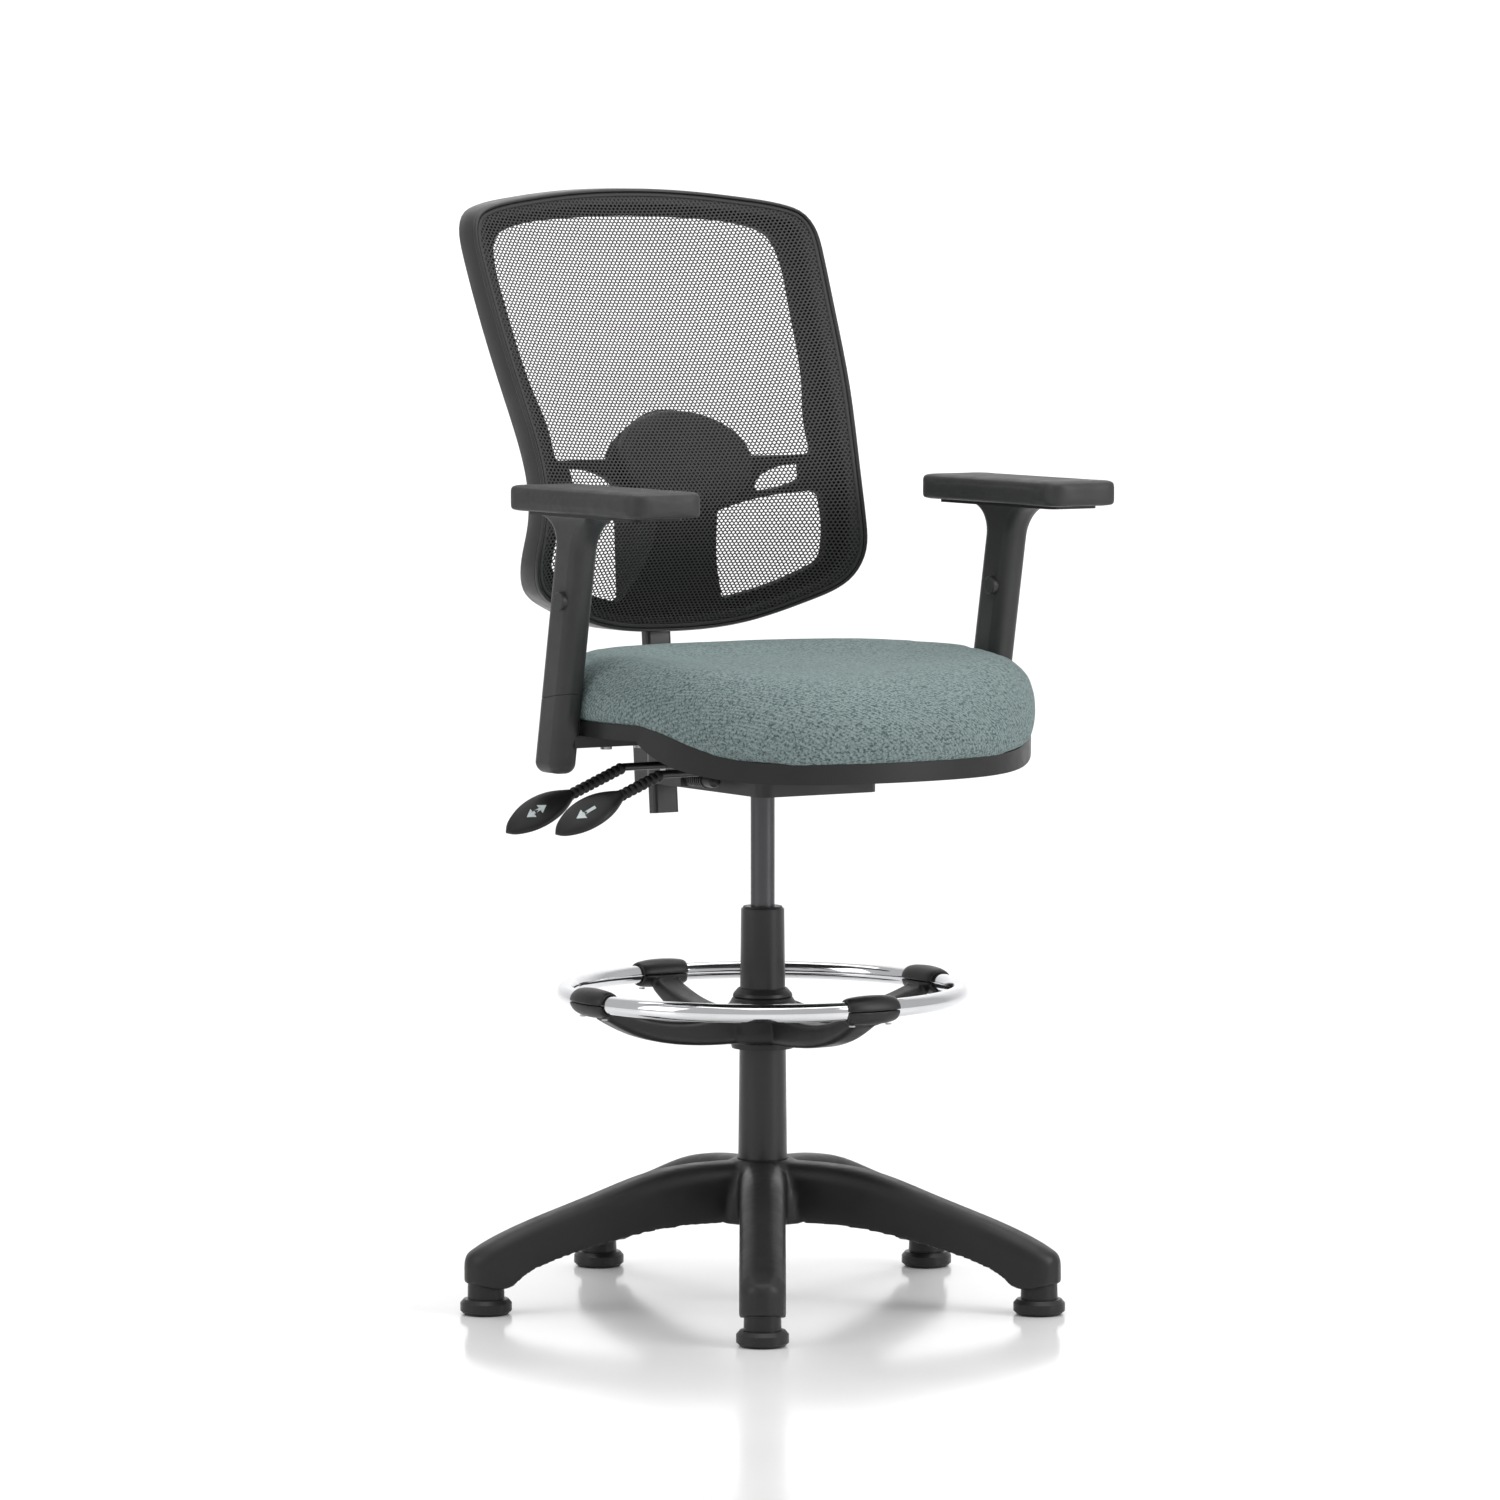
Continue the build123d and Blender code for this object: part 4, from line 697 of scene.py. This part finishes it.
def make_arm_pad(side, body, node):
    """A soft moulded arm pad: a rounded bar with a rolled edge and a level top."""
    low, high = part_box(node)
    centre = (low + high) / 2
    half_x, half_y = (high.x - low.x) / 2, (high.y - low.y) / 2
    corner = 0.015
    per_corner = 16
    rings = []
    for inset, up in PAD_LAYERS:
        ring = []
        r = max(corner - inset * MM * 0.6, 0.003)
        for quarter in range(4):
            sx, sy = ((1, 1), (-1, 1), (-1, -1), (1, -1))[quarter]
            for i in range(per_corner):
                a = math.radians(90 * quarter + 90 * i / (per_corner - 1))
                ring.append((centre.x + sx * (half_x - inset * MM - r) + r * math.cos(a),
                             centre.y + sy * (half_y - inset * MM - r) + r * math.sin(a),
                             low.z + up * MM))
        rings.append(ring)
    steps = 4 * per_corner
    verts = [v for ring in rings for v in ring]
    faces = grid_faces(len(rings), steps, False, True)
    faces.append(tuple(range(steps)))
    faces.append(tuple(range((len(rings) - 1) * steps, len(rings) * steps)))
    pad = mesh_object(f"arm_pad_skin_{side}", verts, faces)
    outward(pad)
    puff(pad, 0.002, 0.0006, 1)
    finish_piece(pad, MATERIALS["pad_foam"], body, [node])


# ---------------------------------------------------------------- star base
LEG_TOP = ((0, 148), (30, 147.4), (70, 146), (120, 139), (180, 119), (240, 98), (290, 77.5),
           (312, 66))
LEG_UNDER = ((0, 86), (30, 86), (120, 81), (180, 68.8), (240, 51.5), (258, 43.5),
             (269, 35.5), (273, 31.5), (312, 31.5))


def rounded_section(half_width, low, high, shoulder, steps=6):
    """Outline (across, up) of a bar with rounded shoulders, from low left up and over."""
    outline = [(-half_width, low), (-half_width, (low + high - shoulder) / 2)]
    for i in range(steps + 1):
        a = math.pi - math.pi / 2 * i / steps
        outline.append((-half_width + shoulder + shoulder * math.cos(a),
                        high - shoulder + shoulder * math.sin(a)))
    return outline + [(-x, z) for x, z in reversed(outline)]


def loft(rings):
    """A closed skin over rings of equal length."""
    steps = len(rings[0])
    verts = [v for ring in rings for v in ring]
    faces = grid_faces(len(rings), steps, False, True)
    faces.append(tuple(range(steps)))
    faces.append(tuple(range((len(rings) - 1) * steps, len(rings) * steps)))
    return verts, faces


def turned_skin(outline, steps=72):
    """A closed body of revolution from (radius, height) millimetres, on the Z axis."""
    verts = []
    for radius, height in outline:
        for i in range(steps):
            a = 2 * math.pi * i / steps
            verts.append((radius * math.cos(a) * MM, radius * math.sin(a) * MM, height * MM))
    faces = grid_faces(len(outline), steps, True, True)
    return verts, faces


def joined(name, parts):
    """One object from several (verts, faces) skins."""
    verts, faces = [], []
    for part_verts, part_faces in parts:
        base = len(verts)
        verts += [tuple(v) for v in part_verts]
        faces += [tuple(base + i for i in f) for f in part_faces]
    obj = mesh_object(name, verts, faces)
    outward(obj)
    return obj


def fuse(obj, voxel, smooth):
    """Melt overlapping skins into one with soft fillets."""
    remesh = obj.modifiers.new("remesh", "REMESH")
    remesh.mode = "VOXEL"
    remesh.voxel_size = voxel
    relax = obj.modifiers.new("relax", "SMOOTH")
    relax.factor, relax.iterations = 0.5, smooth
    apply_modifiers(obj)
    obj.data.shade_smooth()


def leg_skin(angle):
    """One leg: a channel with rounded shoulders, closed round the stem at its tip."""
    top = natural_spline(LEG_TOP)(np.linspace(0, 1, 60))
    under = natural_spline(LEG_UNDER)(np.linspace(0, 1, 200))
    turn = Matrix.Translation(COLUMN) @ Matrix.Rotation(angle, 4, "Z")
    wall = 4.5
    rings = []
    for x in (*range(24, 300, 12), 300, 306, 312, 316, 319, 320.0):
        high = np.interp(min(x, 312), top[:, 0], top[:, 1]) - max(x - 312, 0) ** 2 * 0.16
        low = np.interp(min(x, 312), under[:, 0], under[:, 1])
        from_tip = max(x - (320 - 23.5), 0)
        half = math.sqrt(max(23.5**2 - from_tip**2, 6.0**2))
        outer = rounded_section(half, low, high, min(17.0, half * 0.8))
        roof = high - wall if 56 < x < 262 else low + 0.5
        inner_half = max(half - wall, 1.5)
        inner = rounded_section(inner_half, low, max(roof, low + 0.5),
                                min(9.0, inner_half * 0.8, max(roof - low, 0.5) * 0.9))
        ring = [(x, y, z) for y, z in outer] + [(x, y, z) for y, z in reversed(inner)]
        rings.append([turn @ (Vector(c) * MM) for c in ring])
    return loft(rings)


def make_base():
    """The five-legged base, melted into one moulding round the hub."""
    legs = frame_leg_angles()
    parts = [leg_skin(a) for a in legs]
    bore = 25.3
    hub_verts, hub_faces = turned_skin((
        (bore, 84), (49, 84), (51, 90), (49, 112), (45, 130), (40, 141), (33, 147.6),
        (29, 149.2), (bore, 149.2), (bore, 120),
    ))
    hub_verts = [Vector(v) + COLUMN for v in hub_verts]
    base = joined("star_base_moulding", [*parts, (hub_verts, hub_faces)])
    fuse(base, 0.0026, 5)
    return finish_piece(base, MATERIALS["base_plastic"], "base",
                        ["star_base"])


def frame_leg_angles():
    """The directions of the legs, from the glides' places."""
    angles = []
    for number in range(1, 6):
        low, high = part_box(f"glide_{number}")
        out = (low + high) / 2 - COLUMN
        angles.append(math.atan2(out.y, out.x))
    return angles


# ---------------------------------------------------------------- foot ring
RING_RADIUS, RING_Z = 203.7, 322.6
SADDLE_HALF = 29.0
SPOKE_TOP = ((24, 316), (60, 303), (110, 299), (160, 309), (206, 326))
SPOKE_UNDER = ((24, 271), (60, 271), (105, 274), (160, 287), (206, 311))


def saddle_radius(along):
    """The barrel's radius at a distance from its middle."""
    return 11.6 + 4.2 * math.sqrt(max(1 - (along / (SADDLE_HALF + 1)) ** 2, 0))


def saddle_half(quarter, upper):
    """The upper or lower half of a barrel-shaped saddle round the hoop."""
    middle = quarter * math.pi / 2
    bore, steps, stations = 9.55, 14, 15
    rings = []
    for i in range(stations):
        along = -SADDLE_HALF + 2 * SADDLE_HALF * i / (stations - 1)
        turn = middle + along / RING_RADIUS
        start = 0 if upper else math.pi
        gap = 0.25 if upper else -0.25
        ring = []
        for radius, order in ((saddle_radius(along), 1), (bore, -1)):
            arc = []
            for k in range(steps + 1):
                a = start + math.pi * k / steps
                out = RING_RADIUS + radius * math.cos(a)
                up = RING_Z + radius * math.sin(a) * (0.95 if order == 1 else 1)
                if k in (0, steps):
                    up += gap
                arc.append((out, up))
            ring += arc[::order]
        rings.append([
            (COLUMN.x + out * math.cos(turn) * MM, COLUMN.y + out * math.sin(turn) * MM, up * MM)
            for out, up in ring
        ])
    return loft(rings)


def spoke_skin(quarter):
    """One swept spoke of the foot ring, from the hub out to its saddle."""
    top = natural_spline(SPOKE_TOP)(np.linspace(0, 1, 60))
    under = natural_spline(SPOKE_UNDER)(np.linspace(0, 1, 60))
    turn = Matrix.Translation(COLUMN) @ Matrix.Rotation(quarter * math.pi / 2, 4, "Z")
    rings = []
    for x in range(26, 200, 8):
        high = np.interp(x, top[:, 0], top[:, 1])
        low = np.interp(x, under[:, 0], under[:, 1])
        half = 15.0
        outline = rounded_section(half, (low + high) / 2, high, min(6.0, (high - low) / 2.2))
        lower = [(y, low + high - z) for y, z in reversed(outline)]
        ring = [Vector((x, y, z)) * MM for y, z in outline + lower]
        rings.append([turn @ v for v in ring])
    return loft(rings)


def make_ring_hub():
    """The carrier that turns on the collar: hub, four swept spokes and lower saddle halves."""
    bore = 28.05
    hub_verts, hub_faces = turned_skin((
        (bore, 270), (38, 270), (44, 274), (45, 282), (43, 296), (38, 306), (33, 313),
        (31, 317), (bore, 317), (bore, 290),
    ))
    parts = [([Vector(v) + COLUMN for v in hub_verts], hub_faces)]
    for quarter in range(4):
        parts.append(spoke_skin(quarter))
        parts.append(saddle_half(quarter, False))
    hub = joined("foot_ring_carrier", parts)
    fuse(hub, 0.0016, 4)
    finish_piece(hub, MATERIALS["black_plastic"], "foot_ring",
                 ["foot_ring_hub"])
    caps = joined("foot_ring_saddles", [saddle_half(quarter, True) for quarter in range(4)])
    finish_piece(caps, MATERIALS["black_plastic"], "foot_ring",
                 ["ring_clamp_caps"])
    round_edges(caps, 0.001)


# ---------------------------------------------------------------- levers
LEVER_PIVOT = 562.0
LEVER_SLOPE = math.radians(22.0)
LEVERS = (("height_lever", 2.0, 508.0, 0), ("tilt_lever", -96.0, 514.0, 1))
PADDLE_FROM = 68.0
PADDLE_FACE = Vector((-0.241, -0.766, 0.596)).normalized()


def lever_frame(across, tip_z):
    """The bend of a lever, the direction down its rod and the rod's run."""
    run = (LEVER_PIVOT - tip_z) / math.sin(LEVER_SLOPE)
    down = Vector((-math.cos(LEVER_SLOPE), 0, -math.sin(LEVER_SLOPE)))
    bend_x = -300 + (LEVER_PIVOT - tip_z) / math.tan(LEVER_SLOPE)
    bend = COLUMN + Vector((bend_x, across, LEVER_PIVOT)) * MM
    return bend, down, run


def make_sleeve(name, across, tip_z):
    """A corrugated rubber sleeve over the sloping part of the rod."""
    bend, down, run = lever_frame(across, tip_z)
    length = run - PADDLE_FROM + 1.0
    side = Vector((0, 1, 0))
    other = down.cross(side)
    pitch, per_bead, steps = 6.5, 9, 28
    beads = int((length - 1.5) / pitch)
    outline = [(4.1, 1.0), (4.6, 1.0)]
    for bead in range(beads):
        for k in range(per_bead):
            share = k / (per_bead - 1)
            swell = math.sin(math.pi * share) ** 0.6
            outline.append((4.7 + 1.45 * swell, 1.5 + (bead + share * 0.94) * pitch))
    last = 1.5 + beads * pitch
    outline += [(4.6, last + 0.4), (4.1, last + 0.4)]
    rings = []
    for radius, along in outline:
        ring = []
        for i in range(steps):
            a = 2 * math.pi * i / steps
            out = (side * math.cos(a) + other * math.sin(a)) * radius
            ring.append(bend + (down * along + out) * MM)
        rings.append(ring)
    verts = [v for ring in rings for v in ring]
    sleeve = mesh_object(f"{name}_bellows", verts, grid_faces(len(rings), steps, True, True))
    outward(sleeve)
    finish_piece(sleeve, MATERIALS["sleeve_rubber"], name, [f"{name}_sleeve"])
    NODES[f"{name}_rod"].data.materials.clear()
    NODES[f"{name}_rod"].data.materials.append(MATERIALS["column_paint"])


def paddle_axes():
    """The paddle's directions: down the rod, across, and out of its face."""
    down = Vector((-math.cos(LEVER_SLOPE), 0, -math.sin(LEVER_SLOPE)))
    across = PADDLE_FACE.cross(down).normalized()
    return down, across, down.cross(across).normalized()


def paddle_point(start, axes, u, v, w):
    """A point of the paddle: u along, v across, w out of the face, in millimetres."""
    down, across, face = axes
    droop = 0.0021 * max(u - 8, 0) ** 2
    return start + (down * u + across * v + face * (w - droop)) * MM


def make_paddle(name, across, tip_z, icon):
    """A leaf-shaped paddle with a dished face and a raised arrow."""
    bend, down, run = lever_frame(across, tip_z)
    start = bend + down * (run - PADDLE_FROM) * MM
    axes = paddle_axes()
    if axes[2].dot(PADDLE_FACE) < 0:
        axes = (axes[0], -axes[1], -axes[2])
    plan = natural_spline(((-8, 5.4), (0, 9.6), (12, 14.2), (30, 16.8), (47, 15.2),
                           (60, 10.6), (68, 5.4), (71.5, 1.0)))(np.linspace(0, 1, 44))
    steps = 40
    rings = []
    for u, half in plan:
        thick = 5.6 * math.sqrt(max(1 - (max(u - 12, 0) / 62) ** 2.4, 0.02)) + 0.7
        ring = []
        for i in range(steps):
            a = 2 * math.pi * i / steps
            c, s = math.cos(a), math.sin(a)
            v = half * math.copysign(abs(c) ** 0.85, c)
            w = thick * math.copysign(abs(s) ** 0.8, s)
            if s > 0:
                w -= 1.3 * max(1 - (v / max(half, 1)) ** 2, 0) * min(max(u - 8, 0) / 20, 1)
            ring.append(paddle_point(start, axes, u, v, w))
        rings.append(ring)
    verts, faces = loft(rings)
    paddle = mesh_object(f"{name}_leaf", verts, faces)
    outward(paddle)
    finish_piece(paddle, MATERIALS["paddle_plastic"], name, [f"{name}_paddle"])
    if icon:
        shape = ((-11, -1.5), (3, -1.5), (3, -5.4), (12, 0), (3, 5.4), (3, 1.5), (-11, 1.5))
    else:
        shape = ((-12, 0), (-4, -5.2), (-4, -1.5), (4, -1.5), (4, -5.2), (12, 0), (4, 5.2),
                 (4, 1.5), (-4, 1.5), (-4, 5.2))
    tree = bvhtree.BVHTree.FromObject(paddle, bpy.context.evaluated_depsgraph_get())
    top, bottom = [], []
    for u, v in shape:
        above = paddle_point(start, axes, 36 + u, v, 14)
        hit = tree.ray_cast(above, -axes[2])[0]
        top.append(hit + axes[2] * 0.9 * MM)
        bottom.append(hit - axes[2] * 0.8 * MM)
    count = len(shape)
    verts = top + bottom
    faces = [tuple(range(count)), tuple(range(2 * count - 1, count - 1, -1))]
    for i in range(count):
        j = (i + 1) % count
        faces.append((i, j, count + j, count + i))
    arrow = mesh_object(f"{name}_arrow", verts, faces, smooth=False)
    outward(arrow)
    finish_piece(arrow, ICON_PAINT, name)


# ---------------------------------------------------------------- edges and assembly
def round_edges(obj, width):
    """A fine rounding of the sharp edges, so they catch the light."""
    bevel = obj.modifiers.new("soft_edges", "BEVEL")
    bevel.width = width
    bevel.segments = 2
    bevel.limit_method = "ANGLE"
    bevel.angle_limit = math.radians(40)


def build_pieces():
    make_rim()
    make_mesh()
    make_lumbar_pad()
    make_cushion()
    make_arm_pad("left", "arm_left", "arm_pad_left")
    make_arm_pad("right", "arm_right", "arm_pad_right")
    make_base()
    make_ring_hub()
    for name, across, tip_z, icon in LEVERS:
        make_sleeve(name, across, tip_z)
        make_paddle(name, across, tip_z, icon)



# ---------------------------------------------------------------- stage, light and camera
def make_stage():
    """A pale floor that runs into a pale backdrop."""
    half, depth, rise, bend = 6.0, 3.6, 6.0, 1.6
    profile = [(-8.0, 0.0), (depth - bend, 0.0)]
    for i in range(1, 13):
        a = math.radians(90 * i / 12)
        profile.append((depth - bend + bend * math.sin(a), bend - bend * math.cos(a)))
    profile.append((depth, rise))
    turn = Matrix.Rotation(-VIEW_TURN, 4, "Z")
    verts = []
    for along, up in profile:
        for side in (-half, half):
            verts.append(turn @ Vector((side, along, up)))
    floor = mesh_object("floor", verts, grid_faces(len(profile), 2))
    s = Shader("floor_paint")
    dust = s.noise(3.0, 3.0)
    tone = s.ramp(dust, "Fac", ((0.3, (0.86, 0.86, 0.86)), (0.7, (0.89, 0.89, 0.89))))
    s.join(tone, "Color", s.surface, "Base Color")
    gloss = s.range(dust, "Fac", 0.13, 0.17, 0.3, 0.7)
    s.join(gloss, "Result", s.surface, "Roughness")
    s.surface.inputs["Specular IOR Level"].default_value = 0.45
    floor.data.materials.append(s.material)
    return floor


def area_light(name, place, target, size, power, colour=(1, 1, 1)):
    data = bpy.data.lights.new(name, "AREA")
    data.shape = "RECTANGLE"
    data.size, data.size_y = size
    data.energy = power
    data.color = colour
    obj = bpy.data.objects.new(name, data)
    bpy.context.scene.collection.objects.link(obj)
    obj.location = place
    obj.rotation_mode = "QUATERNION"
    obj.rotation_quaternion = (Vector(target) - Vector(place)).to_track_quat("-Z", "Y")
    return obj


VIEW_TURN = math.radians(32.3)
RIGHT = Vector((math.cos(VIEW_TURN), -math.sin(VIEW_TURN), 0))
AWAY = Vector((math.sin(VIEW_TURN), math.cos(VIEW_TURN), 0))


def from_view(right, away, up):
    """A point given from the column in the camera's own directions."""
    return COLUMN + RIGHT * right + AWAY * away + Vector((0, 0, up))


def make_lights():
    look = from_view(0, 0, 0.7)
    area_light("top_box", from_view(0.2, -0.3, 3.4), look, (3.2, 3.2), 62)
    area_light("right_box", from_view(3.2, -1.6, 1.9), look, (1.6, 2.6), 62)
    area_light("left_box", from_view(-3.2, -1.8, 2.0), look, (1.6, 2.6), 34)
    area_light("back_wash", from_view(0, 1.4, 3.8), from_view(0, 3.4, 1.4), (4.5, 1.5), 50)
    world = bpy.data.worlds.new("studio")
    world.use_nodes = True
    world.node_tree.nodes["Background"].inputs[0].default_value = (1, 1, 1, 1)
    world.node_tree.nodes["Background"].inputs[1].default_value = 0.62
    bpy.context.scene.world = world


def make_camera():
    """The lens, distance, height and tilt that fit the star base, foot ring and arm pads."""
    distance, height, tilt, yaw, shift_right = 7.640, 1.1834, 0.0798, -0.00187, 0.0012
    data = bpy.data.cameras.new("camera")
    data.lens = 178.38
    data.sensor_width = 36.0
    data.clip_end = 60
    data.dof.use_dof = False
    camera = bpy.data.objects.new("camera", data)
    bpy.context.scene.collection.objects.link(camera)
    camera.location = from_view(shift_right, -distance, height)
    level = RIGHT * math.sin(yaw) + AWAY * math.cos(yaw)
    aim = level * math.cos(tilt) - Vector((0, 0, math.sin(tilt)))
    camera.rotation_mode = "QUATERNION"
    camera.rotation_quaternion = aim.to_track_quat("-Z", "Y")
    bpy.context.scene.camera = camera


bpy.context.scene.view_settings.view_transform = "Standard"
dress_nodes()
make_stage()
make_lights()
make_camera()
build_pieces()
